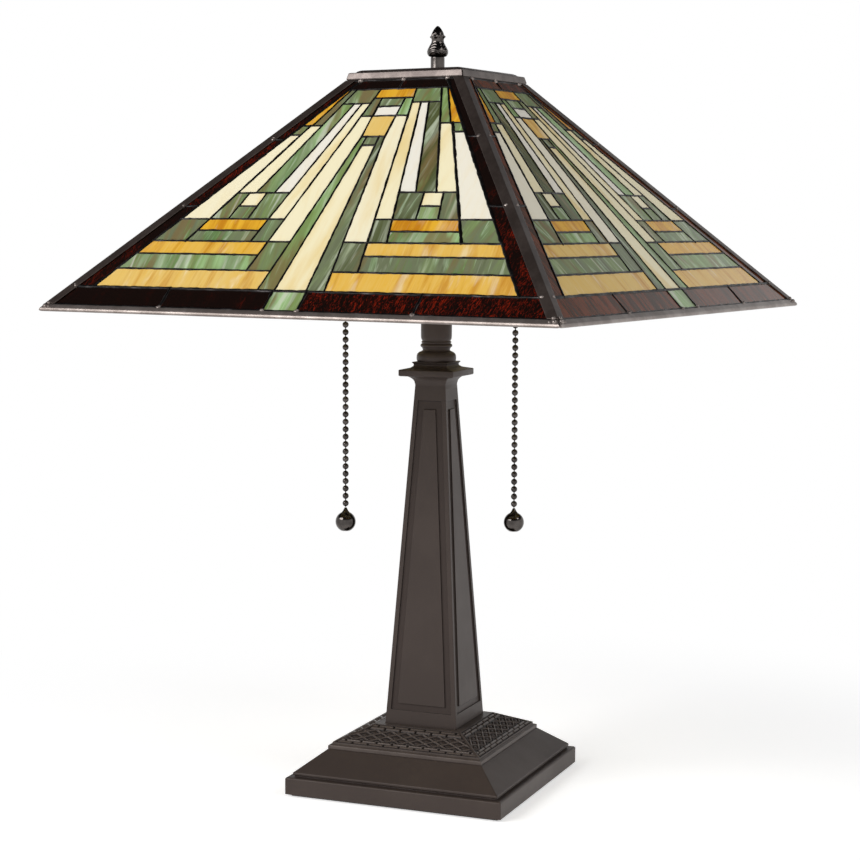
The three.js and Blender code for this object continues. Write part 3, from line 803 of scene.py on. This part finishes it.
def add_pane(bm, axes, outline, glass, tone, chance, edge):
    """One cut piece of glass with rounded edges, set by hand and so never quite level."""
    grain = bm.verts.layers.float_vector["grain"]
    depth_of_tone = bm.verts.layers.float["tone"]
    cut = inset(outline, CUT_BACK)
    low, high = (Vector(map(pick, zip(*cut))) for pick in (min, max))
    middle, reach = (low + high) / 2, (high - low).length / 2
    lean = Vector((chance.uniform(-1, 1), chance.uniform(-1, 1))) * LEAN / reach
    slant = Matrix.Rotation(chance.uniform(-STREAK_TURN, STREAK_TURN), 2)
    own = Vector((chance.uniform(0, 9), chance.uniform(0, 9)))
    layers = ((inset(cut, edge), GLASS_BACK), (cut, GLASS_BACK + edge), (cut, GLASS_FACE - edge),
              (inset(cut, edge), GLASS_FACE))
    rings = []
    for points, depth in layers:
        ring = []
        for point in points:
            vertex = bm.verts.new(axes @ Vector((*point, depth + lean.dot(point - middle))) * MM)
            along = slant @ (point - middle) * MM + own
            vertex[grain] = (along.x, along.y, own.x * 7)
            vertex[depth_of_tone] = min(max(tone, 0.0), REDDEST)
            ring.append(vertex)
        rings.append(ring)
    faces = [bm.faces.new(rings[0][::-1]), bm.faces.new(rings[-1])]
    for lower, upper in zip(rings, rings[1:]):
        for i in range(len(lower)):
            j = (i + 1) % len(lower)
            faces.append(bm.faces.new((lower[i], lower[j], upper[j], upper[i])))
    for face in faces:
        face.material_index = GLASSES.index(glass)


def merged(stretches):
    """Stretches of one line that touch become one."""
    joined = []
    for low, high in sorted(stretches):
        if joined and low <= joined[-1][1] + 0.5:
            joined[-1][1] = max(joined[-1][1], high)
        else:
            joined.append([low, high])
    return joined


def came_runs():
    """Every soldered line of a side as a list of points: lines up the slope, then level ones."""
    upright, level = {}, {}
    for _, _, line, foot, head in MIDDLE_PANES:
        upright.setdefault(line, []).append((foot, head))
        for up in (foot, head):
            level.setdefault(up, []).append((0, across(line, up)))
    for _, _, inner, outer, foot, head in PAIRED_PANES:
        for line in (inner, outer):
            upright.setdefault(line, []).append((foot, head))
        for up in (foot, head):
            level.setdefault(up, []).append((across(inner, up), across(outer, up)))
    for line, stretches in upright.items():
        for foot, head in merged(stretches):
            for sign in (1,) if line == "middle" else (1, -1):
                yield run_of_line(line, foot, head, sign)
    for up, stretches in level.items():
        for inner, outer in merged(stretches):
            if inner == 0:
                yield [Vector((-outer, up)), Vector((outer, up))]
            else:
                for sign in (1, -1):
                    yield [Vector((sign * inner, up)), Vector((sign * outer, up))]


# Cross-section of a soldered line: across as a share of its width, out as a share of its height.
SECTION = ((-0.5, -0.4), (-0.47, 0.3), (-0.28, 0.8), (0.0, 1.0), (0.28, 0.8), (0.47, 0.3), (0.5, -0.4))
STEP = 3.4  # between two sections of a soldered line
THICKER = 1.35  # lines of the border, beside the others
BORDER_ACROSS, BORDER_UP = 90, 20  # lines that start past this place across, or below this one, are thicker
DROP_HEIGHT = 1.5  # of the solder where a line meets the metal


def add_came(bm, axes, points, width, height, chance, face, out):
    """A soldered line along the points: a low rounded bead, thicker here and thinner there."""
    path = []
    for start, end in zip(points, points[1:]):
        steps = max(1, round((end - start).length / STEP))
        path += [start.lerp(end, i / steps) for i in range(steps)]
    path.append(points[-1])
    rings = []
    for i, point in enumerate(path):
        along = (path[min(i + 1, len(path) - 1)] - path[max(i - 1, 0)]).normalized()
        sideways = Vector((-along.y, along.x))
        spread = width * chance.uniform(0.78, 1.24)
        tall = height * chance.uniform(0.75, 1.25)
        wander = chance.uniform(-0.14, 0.14)
        ring = []
        for offset, lift in SECTION:
            spot = point + sideways * (offset * spread + wander)
            ring.append(bm.verts.new(axes @ Vector((*spot, face + out * lift * tall)) * MM))
        rings.append(ring)
    for lower, upper in zip(rings, rings[1:]):
        for i in range(len(SECTION)):
            j = (i + 1) % len(SECTION)
            bm.faces.new((lower[i], lower[j], upper[j], upper[i]))
    for ring in (rings[0], rings[-1]):
        bm.faces.new(ring)


DROP = ((1.0, -0.5), (0.96, 0.1), (0.78, 0.62), (0.42, 0.93))  # shares of a drop's radius and height
DROP_SIDES = 12


def add_solder(bm, axes, spot, radius, height, chance, face, out, finish=0):
    """A drop of solder, flattened, where lines meet."""
    squeeze = chance.uniform(0.8, 1.15)
    rings = []
    for reach, lift in DROP:
        ring = []
        for i in range(DROP_SIDES):
            angle = 2 * math.pi * i / DROP_SIDES
            ring.append(axes @ Vector((
                spot.x + radius * reach * math.cos(angle) * squeeze,
                spot.y + radius * reach * math.sin(angle) / squeeze,
                face + out * lift * height)))
        rings.append(ring)
    foot = axes @ Vector((*spot, face + out * DROP[0][1] * height))
    top = axes @ Vector((*spot, face + out * height))
    for ring in skin(bm, [[foot], *rings, [top]]):
        for vertex in ring:
            for facet in vertex.link_faces:
                facet.material_index = finish


# ---------------------------------------------------------------- the foot's relief

BLOCK = 12.2  # one raised block of a course, with its joint
JOINT = 1.2
COURSES = ((1.0, 3.2, 0.0), (3.6, 5.4, 0.5), (20.4, 22.4, 0.5), (22.8, 25.0, 0.0))  # foot, head, shift
LATTICE = (6.0, 19.8)  # its foot and head
DIAMOND = (12.2, 6.9)  # one diamond of the lattice, across and up
STRAND = 0.26  # width of a strand, as a share of its spacing
GROOVE = 0.15  # between a strand and the boss it surrounds, as a share of the boss
BOSS = 0.6  # height of a boss, as a share of the relief
PLAIN_EDGE = 1.5  # smooth band along the mitre
PLAIN = 0.75  # height of the plain metal, as a share of the relief
UNDERPASS = 0.86  # height of a strand where the other one crosses over it


def pillow(fraction, edge):
    """A rounded cross-section: 0 at both ends of 0 to 1, and full between."""
    near = min(fraction, 1 - fraction) / edge
    return 1.0 if near >= 1 else math.sqrt(max(0.0, 1 - (1 - near) ** 2)) if near > 0 else 0.0


def relief(spot, up, half):
    """Height of the pattern from 0 to 1 at a place on the slope."""
    to_mitre = half - abs(spot)
    if to_mitre < PLAIN_EDGE:
        return PLAIN
    fade = min(1.0, (to_mitre - PLAIN_EDGE) / 0.5)
    for foot, head, shift in COURSES:
        if foot < up < head:
            along = ((spot / BLOCK + shift + 0.5) % 1.0) * BLOCK
            if along < JOINT:
                return 0.0
            return fade * min(pillow((up - foot) / (head - foot), 0.4),
                              pillow((along - JOINT) / (BLOCK - JOINT), 0.08))
    low, high = LATTICE
    if low < up < high:
        rising = spot / DIAMOND[0] + (up - low) / DIAMOND[1] + 0.5
        falling = spot / DIAMOND[0] - (up - low) / DIAMOND[1] + 0.5
        over = (math.floor(rising) + math.floor(falling)) % 2
        strands = [pillow((share + STRAND / 2) % 1.0 / STRAND, 0.45) * (1.0 if over == i else UNDERPASS)
                   for i, share in enumerate((rising, falling)) if (share + STRAND / 2) % 1.0 < STRAND]
        boss = 0.0
        if not strands:
            inner = [(share % 1.0 - STRAND / 2) / (1 - STRAND) for share in (rising, falling)]
            boss = BOSS * min(pillow((share - GROOVE) / (1 - 2 * GROOVE), 0.45) for share in inner)
        border = min(1.0, (up - low) / 0.5, (high - up) / 0.5)
        return fade * border * max(strands, default=boss)
    return 0.0


BORE = 5.3  # of the castings, round the threaded tube


def add_collar(bm, depth):
    """The foot's upper slope with its ledge, its courses of blocks and its woven band."""
    mark = bm.verts.layers.float.new("relief")
    low, high = span_of("base_collar")
    columns, rows = 236, 56  # of faces on each side of the slope
    ledge_half, ledge_top = 57.6, low + 4.8
    top_half = 33.8
    foot_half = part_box("base_collar")[1].x / MM
    run, rise = ledge_half - top_half, high - ledge_top
    slope = math.hypot(run, rise)
    outward = Vector((rise, run)) / slope  # across, up
    profile = [(foot_half - 6, low, 0), (foot_half - 0.2, low, 0), (foot_half, low + 0.3, 0),
               (foot_half, low + 2.3, 0), (foot_half - 0.3, low + 2.8, 0), (foot_half - 1.0, low + 2.9, 0),
               (foot_half - 1.2, low + 2.5, 0), (foot_half - 1.5, low + 2.9, 0), (ledge_half, low + 3.4, 0),
               (ledge_half, ledge_top - 0.4, 0)]
    profile += [(ledge_half - run * i / rows, ledge_top + rise * i / rows, slope * i / rows)
                for i in range(rows + 1)]
    profile += [(BORE, high, 0), (BORE, high - 3, 0), (top_half - 2, high - 3, 0), (ledge_half - 4, low + 2.8, 0)]
    loops = []
    heights = []
    for half, z, up in profile:
        loop = []
        for quarter in range(4):
            around = Matrix.Rotation(quarter * math.pi / 2, 2)
            for i in range(columns):
                spot = half * (2 * i / columns - 1)
                raised = relief(spot, up, half) if 0 < up < slope - 0.1 else PLAIN
                lift = (raised - PLAIN) * depth
                flat = around @ Vector((spot, -(half + outward.x * lift)))
                loop.append((flat.x, flat.y, z + outward.y * lift))
                heights.append(raised)
        loops.append(loop)
    rings = skin(bm, loops, closed=True)
    for vertex, raised in zip((v for ring in rings for v in ring), heights):
        vertex[mark] = raised


# ---------------------------------------------------------------- operators

class LAMP_OT_glass(Operator):
    """Cut the panes of the four sides and set them in the frame"""
    bl_idname = "lamp.glass"
    bl_label = "Glass Panes"

    def execute(self, context):
        sizes = context.scene.lamp_sizes
        for quarter, side in enumerate(SIDES):
            bm = bmesh.new()
            bm.verts.layers.float_vector.new("grain")
            bm.verts.layers.float.new("tone")
            chance = random.Random(PANE_SEED + quarter)
            for glass, tone, outline in panes_of_side(quarter):
                add_pane(bm, Side(quarter), outline, glass, tone, chance, sizes.pane_edge / MM)
            place_piece(f"panes_{side}", bm, GLASSES, "art_glass", "shade", f"glass_{side}")
        return {"FINISHED"}


class LAMP_OT_came(Operator):
    """Run the soldered lines between the panes, outside and inside, with drops where they meet the bars"""
    bl_idname = "lamp.came"
    bl_label = "Soldered Came"

    def execute(self, context):
        sizes = context.scene.lamp_sizes
        width, height = sizes.came_width / MM, sizes.came_height / MM
        radius = sizes.solder_radius / MM
        for quarter, side in enumerate(SIDES):
            bm = bmesh.new()
            axes = Side(quarter)
            chance = random.Random(CAME_SEED + quarter)
            for face, out in ((GLASS_FACE, 1), (GLASS_BACK, -1)):
                for points in came_runs():
                    outer = abs(points[0].x) > BORDER_ACROSS or points[0].y < BORDER_UP
                    broad = width * (THICKER if outer else 1.0)
                    add_came(bm, axes, points, broad, height, chance, face, out)
                    for spot in (points[0], points[-1]):
                        add_solder(bm, axes, spot, broad * 0.62, height * 1.15, chance, face, out)
            # Here and at the corners below, drops on the metal take the paler rim pewter (finish 1), as a painted
            # highlight.
            for line, up in SOLDERED:
                for sign in (1,) if line == "middle" else (1, -1):
                    spot = Vector((sign * across(line, up), up))
                    add_solder(bm, axes, spot, radius, DROP_HEIGHT, chance, GLASS_FACE, 1, 1)
                    aside = Vector((chance.uniform(-1, 1), chance.uniform(-1, 1))) * radius * 0.6
                    add_solder(bm, axes, spot + aside, radius * 0.6, DROP_HEIGHT * 1.2, chance, GLASS_FACE, 1, 1)
            for sign in (1, -1):
                for inward, up, reach in CORNER_DROPS:
                    spot = Vector((sign * (MOUTH_HALF - inward), up))
                    add_solder(bm, axes, spot, radius * reach, CORNER_HEIGHT * reach, chance, 0, 1, 1)
            place_piece(f"came_{side}", bm, ("came", "rim"), "came_metal", "shade", crease=60)
        return {"FINISHED"}


class LAMP_OT_bars(Operator):
    """Finish the shade's rims, hip bars and cap"""
    bl_idname = "lamp.bars"
    bl_label = "Shade Metal"

    def execute(self, context):
        edge = context.scene.lamp_sizes.bar_edge
        for side in SIDES:
            # The bottom rims take the paler pewter, as painted light.
            dress(f"bottom_rim_{side}", "rim", edge * 1.6)
            dress(f"top_rim_{side}", "crown", edge)
        for corner in ("front_right", "back_right", "back_left", "front_left"):
            dress(f"hip_bar_{corner}", "hip", edge / 2)
        dress("shade_cap", "hip", edge / 2)
        cap_half = max(corner.y for corner in corners_in_shade("shade_cap"))
        low, top = span_of("shade_cap")
        fillet = ((-0.3, low), (1.3, low - 1), (3.2, low), (2.6, low + 0.7), (1.2, top - 0.2), (0, top + 0.1),
                  (-0.4, top - 0.4))
        bm = bmesh.new()
        skin(bm, [square_loop(cap_half + out, height, 1.5) for out, height in fillet], closed=True)
        bm.transform(Matrix.Rotation(SHADE_TURN, 4, "Z"))
        place_piece("cap_seam", bm, ("hip",), "came_metal", "shade")
        return {"FINISHED"}


class LAMP_OT_foot(Operator):
    """Finish the slab and model the patterned slope above it"""
    bl_idname = "lamp.foot"
    bl_label = "Foot"

    def execute(self, context):
        sizes = context.scene.lamp_sizes
        dress("base_plinth", "bronze", sizes.casting_edge)
        bm = bmesh.new()
        add_collar(bm, sizes.relief_depth / MM)
        stand_in("collar_relief", bm, "relief", "bronze_casting", "base_collar")
        dress("felt_pad", "felt")
        dress("base_weight", "iron")
        dress("cord_bushing", "rubber", sizes.casting_edge / 2)
        return {"FINISHED"}


class LAMP_OT_column(Operator):
    """Finish the column and turn the capital and neck above it"""
    bl_idname = "lamp.column"
    bl_label = "Column"

    def execute(self, context):
        dress("column", "column", context.scene.lamp_sizes.casting_edge / 2)
        bm = bmesh.new()
        foot, top = span_of("capital")
        head = span_of("column")[1]
        cove = arc(19.2, head + 0.2, 7.3, 180, 90, 10)
        profile = [
            (BORE, foot), (8.6, foot), (8.6, head), (12.03, head - 1.8), (11.92, head), *cove,
            (21.0, head + 7.4), *arc(20.7, head + 8.2, 0.8, -90, 0, 4), *arc(20.9, head + 11.5, 0.6, 0, 90, 4),
            (14.8, head + 13.4), (14.2, head + 13.9), (13.4, head + 14.4), (13.0, head + 15.2),
            (13.1, head + 16.0), (13.6, head + 16.7), *arc(13.7, top - 0.35, 0.35, -60, 90, 4), (BORE, top),
        ]
        skin(bm, [square_loop(half, z, 0.45 if half < 12.5 else 1.3) for half, z in profile], closed=True)
        stand_in("capital_casting", bm, "bronze", "bronze_casting", "capital")
        low, high = span_of("neck")
        profile = [
            (BORE, low), (13.7, low), (14.2, low + 0.5), (14.5, low + 1.5), (14.55, low + 3.0), (14.4, low + 4.6),
            (13.8, low + 5.8), (12.7, low + 6.8), (11.2, low + 7.5), (10.2, low + 8.0), (9.95, low + 8.7),
            (10.3, low + 9.6), *arc(10.35, low + 11.7, 1.35, -75, 70, 10), (10.55, low + 13.2),
            *arc(10.3, low + 14.2, 0.7, -60, 70, 6), (10.35, low + 15.1), (10.5, low + 15.6), (10.9, low + 16.1),
            (11.2, low + 17.0), (11.35, low + 18.5), (11.4, low + 24), (11.35, high - 3), (10.9, high), (BORE, high),
        ]
        turned_piece("neck_turning", profile, "bronze", "bronze_casting", "neck", sides=64, closed=True)
        return {"FINISHED"}


class LAMP_OT_finial(Operator):
    """Model the acorn finial with its ribs and scrolls, on its polished sleeve"""
    bl_idname = "lamp.finial"
    bl_label = "Finial"

    OUTLINE = (
        (5.0, 0.0), (6.3, 0.5), (7.2, 1.7), (7.6, 3.5), (7.3, 5.2), (6.4, 7.0), (5.4, 8.8), (4.7, 10.4),
        (4.5, 12.0), (4.6, 13.3), (4.9, 14.6), (4.7, 15.9), (4.1, 17.4), (3.1, 19.3), (2.0, 20.8),
        (0.9, 21.9), (0.0, 22.3),
    )

    def radius_at(self, height):
        """The outline's radius, drawn smoothly through its points."""
        points = self.OUTLINE
        last = len(points) - 1
        for i in range(last):
            if height <= points[i + 1][1] or i == last - 1:
                span = points[i + 1][1] - points[i][1]
                t = (height - points[i][1]) / span
                before, after = points[max(i - 1, 0)], points[min(i + 2, last)]
                ends = points[i][0], points[i + 1][0]
                leave = (ends[1] - before[0]) * span / max(points[i + 1][1] - before[1], 1e-6)
                arrive = (after[0] - ends[0]) * span / max(after[1] - points[i][1], 1e-6)
                return ((2 * t**3 - 3 * t**2 + 1) * ends[0] + (t**3 - 2 * t**2 + t) * leave
                        + (3 * t**2 - 2 * t**3) * ends[1] + (t**3 - t**2) * arrive)

    def carve(self, angle, height):
        """Ribs on the upper half, scrolls at its shoulders and overlapping leaves on the bulb."""
        ribs = min(max((height - 11.5) / 2.5, 0), 1) * min(max((22.0 - height) / 5, 0), 1)
        carved = 0.42 * ribs * (abs(math.cos(4 * angle)) - 0.6)
        quadrant = (angle + math.pi / 4) % (math.pi / 2) - math.pi / 4
        scroll = math.exp(-((quadrant / 0.27) ** 2) - ((height - 14.3) / 0.95) ** 2)
        hollow = math.exp(-((quadrant / 0.2) ** 2) - ((height - 15.9) / 0.6) ** 2)
        carved += 1.1 * scroll - 0.5 * hollow
        leaf = min(max((height - 1.2) / 1.2, 0), 1) * min(max((11.0 - height) / 2, 0), 1)
        phase = height / 2.1 + 1.6 * (quadrant / (math.pi / 4)) ** 2
        return carved + 0.3 * leaf * (abs(math.sin(math.pi * phase)) - 0.55)

    def execute(self, context):
        low, high = span_of("finial")
        stretch = (high - low) / self.OUTLINE[-1][1]
        levels, sides = 110, 96
        bm = bmesh.new()
        loops = [[(0, 0, low)]]
        for i in range(levels):
            height = self.OUTLINE[-1][1] * i / levels
            reach = self.radius_at(height)
            loops.append(round_loop((0, 0), reach, low + height * stretch, sides,
                                    lambda angle, height=height: self.carve(angle, height)))
        loops.append([(0, 0, high)])
        skin(bm, loops)
        stand_in("finial_acorn", bm, "nickel", "dark_nickel", "finial", crease=70)
        low, high = span_of("finial_base")
        profile = [
            (3.4, low), (5.5, low), *arc(5.35, low + 0.45, 0.3, -60, 70, 5), (5.2, low + 1.0), (5.1, low + 1.4),
            (5.1, high - 0.8), (5.0, high - 0.3), (4.7, high), (3.4, high),
        ]
        turned_piece("finial_sleeve", profile, "nickel", "dark_nickel", "finial_base", sides=64, closed=True)
        return {"FINISHED"}


class LAMP_OT_chains(Operator):
    """String the two pull chains with their connectors and balls"""
    bl_idname = "lamp.chains"
    bl_label = "Pull Chains"

    def beads(self, name, node, radius, count, link):
        """Beads on a wire from the node's lowest point to its highest."""
        low, high = span_of(node)
        pitch = (high - low) / count
        reach = math.degrees(math.acos(link / radius))
        profile = [(0, low), (link, low)]
        for i in range(count):
            profile += arc(0, low + (i + 0.5) * pitch, radius, -reach, reach, 10)
        profile += [(link, high), (0, high)]
        turned_piece(name, profile, "nickel", "dark_nickel", node, middle_of(node), sides=20, crease=40)

    def connector(self, name, node):
        """The crimped sleeve that joins the two chains."""
        low, high = span_of(node)
        profile = [
            (0, low), (0.6, low), (1.4, low + 0.5), (2.1, low + 1.3), *arc(2.1, low + 2.4, 0.4, -60, 60, 4),
            (2.3, low + 3.2), (2.3, high - 3.6), *arc(2.1, high - 3.2, 0.4, -60, 60, 4),
            (1.9, high - 2.3), (1.3, high - 1.2), (0.6, high - 0.3), (0.6, high), (0, high),
        ]
        turned_piece(name, profile, "nickel", "dark_nickel", node, middle_of(node), sides=32)

    def ball(self, name, node):
        """The ball pull: flat underneath, with a small collar and a tapered tip that holds the chain."""
        low, high = span_of(node)
        centre = low + 6.7
        profile = [
            (0, low), (2.6, low), (3.0, low + 0.1), *arc(0, centre, 7.4, -63, 66, 26),
            (2.75, centre + 6.95), (2.6, centre + 7.3), (2.1, centre + 7.8), (1.5, centre + 8.9),
            (1.1, centre + 9.7), (0.8, high - 0.2), (0.6, high), (0, high),
        ]
        turned_piece(name, profile, "nickel", "dark_nickel", node, middle_of(node), sides=64)

    def execute(self, context):
        link = context.scene.lamp_sizes.link_radius / MM
        for side in SOCKETS:
            low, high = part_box(f"{side}_bead_chain")
            self.beads(f"{side}_beads", f"{side}_bead_chain", (high.y - low.y) / 2 / MM, 28, link)
            self.beads(f"{side}_switch_beads", f"{side}_switch_chain", 1.6, 5, link)
            self.connector(f"{side}_connector", f"{side}_chain_coupling")
            self.ball(f"{side}_ball", f"{side}_pull_ball")
        return {"FINISHED"}


class LAMP_OT_sockets(Operator):
    """Turn the sockets and the bulbs under the shade, and finish the cluster and its arms"""
    bl_idname = "lamp.sockets"
    bl_label = "Sockets and Bulbs"

    BULB = (
        (12, 0), (12.3, 3), (13.2, 7), (15.2, 12.5), (18, 18), (20.8, 23), (22.8, 28), (23.8, 32.5),
        (24, 36), (23.4, 40.5), (21.8, 45), (19, 49.5), (15.4, 53.2), (11, 56.4), (6, 59), (0, 60),
    )

    def cap(self, low, high):
        """The socket's cup-shaped foot."""
        return [
            (5, low), (6.2, low), (6.5, low + 0.3), (6.5, low + 4.6), (7.4, low + 6.0), (9.6, low + 7.2),
            (13.2, low + 8.4), (15.4, low + 9.5), (16.8, low + 11.0), (17.4, low + 12.8), (17.6, high),
            (16.6, high), (16.3, low + 12.8), (15.8, low + 11.6), (14.6, low + 10.4), (12.4, low + 9.3),
            (8.8, low + 8.2), (5, low + 7.2),
        ]

    def shell(self, low, high):
        """The socket's barrel with a rolled bead near its mouth."""
        return [
            (16.6, low), (17.5, low), (17.6, low + 0.3), (17.6, high - 9), (17.7, high - 8.2),
            *arc(17.5, high - 6, 0.8, -70, 70, 8), (17.6, high - 4), (17.6, high - 0.3), (17.5, high),
            (16.6, high),
        ]

    def bulb_base(self, low, high):
        """The bulb's contact, its cone and its rolled thread."""
        thread = [(12.7 + 0.4 * math.cos(math.pi * i / 3), low + 7 + (high - low - 8) * i / 18)
                  for i in range(19)]
        return [(0, low), (3.8, low), (4.4, low + 0.5), (5.2, low + 1.8), (9, low + 4.8), (12.2, low + 6.4),
                *thread, (13.1, high), (0, high)]

    def bulb(self, low, high):
        """The bulb's glass, 1 mm thick."""
        inner = [(max(r - 1, 0), z - (1 if r == 0 else 0.4 if z > 44 else 0)) for r, z in self.BULB]
        return [(r, low + z) for r, z in (*inner[::-1], *self.BULB)]

    def execute(self, context):
        edge = context.scene.lamp_sizes.casting_edge
        for side in SOCKETS:
            centre = middle_of(f"{side}_socket_shell")
            for name, node, shape, finish, slot, closed in (
                    ("cap", "socket_cap", self.cap, "brass", "aged_brass", True),
                    ("shell", "socket_shell", self.shell, "brass", "aged_brass", True),
                    ("lamp_base", "bulb_base", self.bulb_base, "steel", "zinc_steel", False),
                    ("bulb", "bulb_glass", self.bulb, "bulb", "bulb_glass", False)):
                profile = shape(*span_of(f"{side}_{node}"))
                turned_piece(f"{side}_{name}", profile, finish, slot, f"{side}_{node}", centre, closed=closed)
            dress(f"{side}_chain_guide", "brass")
            dress(f"{side}_screw_shell", "brass")
            dress(f"{side}_socket_liner", "card")
            dress(f"{side}_socket_interior", "phenolic", edge)
            dress(f"arm_{side}", "brass")
        dress("cluster_body", "brass")
        return {"FINISHED"}


class LAMP_OT_rods(Operator):
    """Finish the rods, nuts, washer and seat that hold the lamp together"""
    bl_idname = "lamp.rods"
    bl_label = "Rods and Nuts"

    def execute(self, context):
        for node in ("lamp_rod", "rod_washer", "rod_nut", "riser_rod", "shade_seat", "seat_nut"):
            dress(node, "steel", 0.2 * MM if node.endswith(("nut", "washer", "seat")) else None)
        return {"FINISHED"}


class LAMP_OT_studio(Operator):
    """Set the floor, the soft lights and the camera"""
    bl_idname = "lamp.studio"
    bl_label = "Studio"

    def area(self, name, power, size, at, aim):
        light = bpy.data.lights.new(name, "AREA")
        light.shape = "RECTANGLE"
        light.energy = power
        light.size, light.size_y = size
        lamp = bpy.data.objects.new(name, light)
        lamp.location = at
        lamp.rotation_euler = (Vector(aim) - Vector(at)).to_track_quat("-Z", "Y").to_euler()
        bpy.context.scene.collection.objects.link(lamp)

    def floor(self, colour):
        bm = bmesh.new()
        bmesh.ops.create_grid(bm, x_segments=8, y_segments=8, size=12)
        mesh = bpy.data.meshes.new("floor")
        bm.to_mesh(mesh)
        bm.free()
        paper = Finish("floor_paper", Specular_IOR_Level=0.0, Emission_Strength=1.0)
        place = paper.place()
        grain = paper.noise(place, 500, 3)
        away = paper.between(paper.add("VectorMath", {"operation": "LENGTH"}, {0: place}, output=1), 0.2, 0.6)
        near = paper.mix(0.02 * grain, colour, (0.6, 0.6, 0.6))
        paper.surface(
            Base_Color=paper.mix(away, near, (0.0, 0.0, 0.0)), Roughness=0.9 + 0.05 * grain,
            Emission_Color=paper.mix(away, (0.5, 0.5, 0.5), (1.0, 1.0, 1.0)))
        mesh.materials.append(paper.material)
        floor = bpy.data.objects.new("floor", mesh)
        bpy.context.scene.collection.objects.link(floor)

    def camera(self, lens):
        """The camera, at its own height and distance, leaning a little to one side."""
        azimuth, pitch, roll = math.radians(22.05), math.radians(5.96), math.radians(0.25)
        distance, height = 1.48949, 0.41731
        data = bpy.data.cameras.new("camera")
        data.lens = lens
        data.sensor_width = 36
        data.shift_x, data.shift_y = -0.007, 0.0032
        camera = bpy.data.objects.new("camera", data)
        stand = Matrix.Translation((distance * math.sin(azimuth), -distance * math.cos(azimuth), height))
        camera.matrix_world = (stand @ Matrix.Rotation(azimuth, 4, "Z")
                               @ Matrix.Rotation(math.pi / 2 - pitch, 4, "X") @ Matrix.Rotation(roll, 4, "Z"))
        bpy.context.scene.collection.objects.link(camera)
        bpy.context.scene.camera = camera

    def sky(self, strength):
        """Even light all round the horizon, and a dim ceiling."""
        world = bpy.data.worlds.new("studio")
        world.use_nodes = True
        bpy.context.scene.world = world
        nodes = Nodes(world.node_tree)
        direction = nodes.add("TexCoord", output=0)
        height = nodes.add("SeparateXYZ", None, {0: direction}, output=2)  # sine of the elevation
        colour = nodes.mix(nodes.between(height, 0.28, 0.52), (1.0, 1.0, 1.0), (0.04, 0.04, 0.045))
        nodes.fill(world.node_tree.nodes["Background"], {"Color": colour, "Strength": strength})

    def execute(self, context):
        studio = context.scene.lamp_studio
        context.scene.view_settings.view_transform = "Standard"
        self.floor(studio.floor)
        self.camera(studio.lens)
        self.sky(studio.daylight)
        self.area("key", studio.key, (1.8, 1.0), (-1.35, -1.75, 1.65), (0, 0, 0.35))
        self.area("side", studio.key * 0.22, (0.8, 0.8), (1.6, -0.25, 1.9), (0.1, 0, 0.4))
        return {"FINISHED"}


OPERATORS = (
    LAMP_OT_studio, LAMP_OT_glass, LAMP_OT_came, LAMP_OT_bars, LAMP_OT_foot, LAMP_OT_column,
    LAMP_OT_finial, LAMP_OT_chains, LAMP_OT_sockets, LAMP_OT_rods,
)


class LAMP_PT_panel(Panel):
    """Lists the lamp's sizes, colours and pieces"""
    bl_idname = "LAMP_PT_panel"
    bl_label = "Table Lamp"
    bl_space_type = "VIEW_3D"
    bl_region_type = "UI"
    bl_category = "Lamp"

    def draw(self, context):
        for group in (context.scene.lamp_sizes, context.scene.lamp_colours, context.scene.lamp_studio):
            box = self.layout.box()
            for name in group.__annotations__:
                box.prop(group, name)
        for operator in OPERATORS:
            self.layout.operator(operator.bl_idname)


CLASSES = (LampSizes, LampColours, LampStudio, *OPERATORS, LAMP_PT_panel)


def register():
    for cls in CLASSES:
        bpy.utils.register_class(cls)
    bpy.types.Scene.lamp_sizes = PointerProperty(type=LampSizes)
    bpy.types.Scene.lamp_colours = PointerProperty(type=LampColours)
    bpy.types.Scene.lamp_studio = PointerProperty(type=LampStudio)


def unregister():
    del bpy.types.Scene.lamp_studio
    del bpy.types.Scene.lamp_colours
    del bpy.types.Scene.lamp_sizes
    for cls in reversed(CLASSES):
        bpy.utils.unregister_class(cls)


def main():
    register()
    for operator in OPERATORS:
        getattr(bpy.ops.lamp, operator.bl_idname.split(".")[1])()


if __name__ == "__main__":
    main()
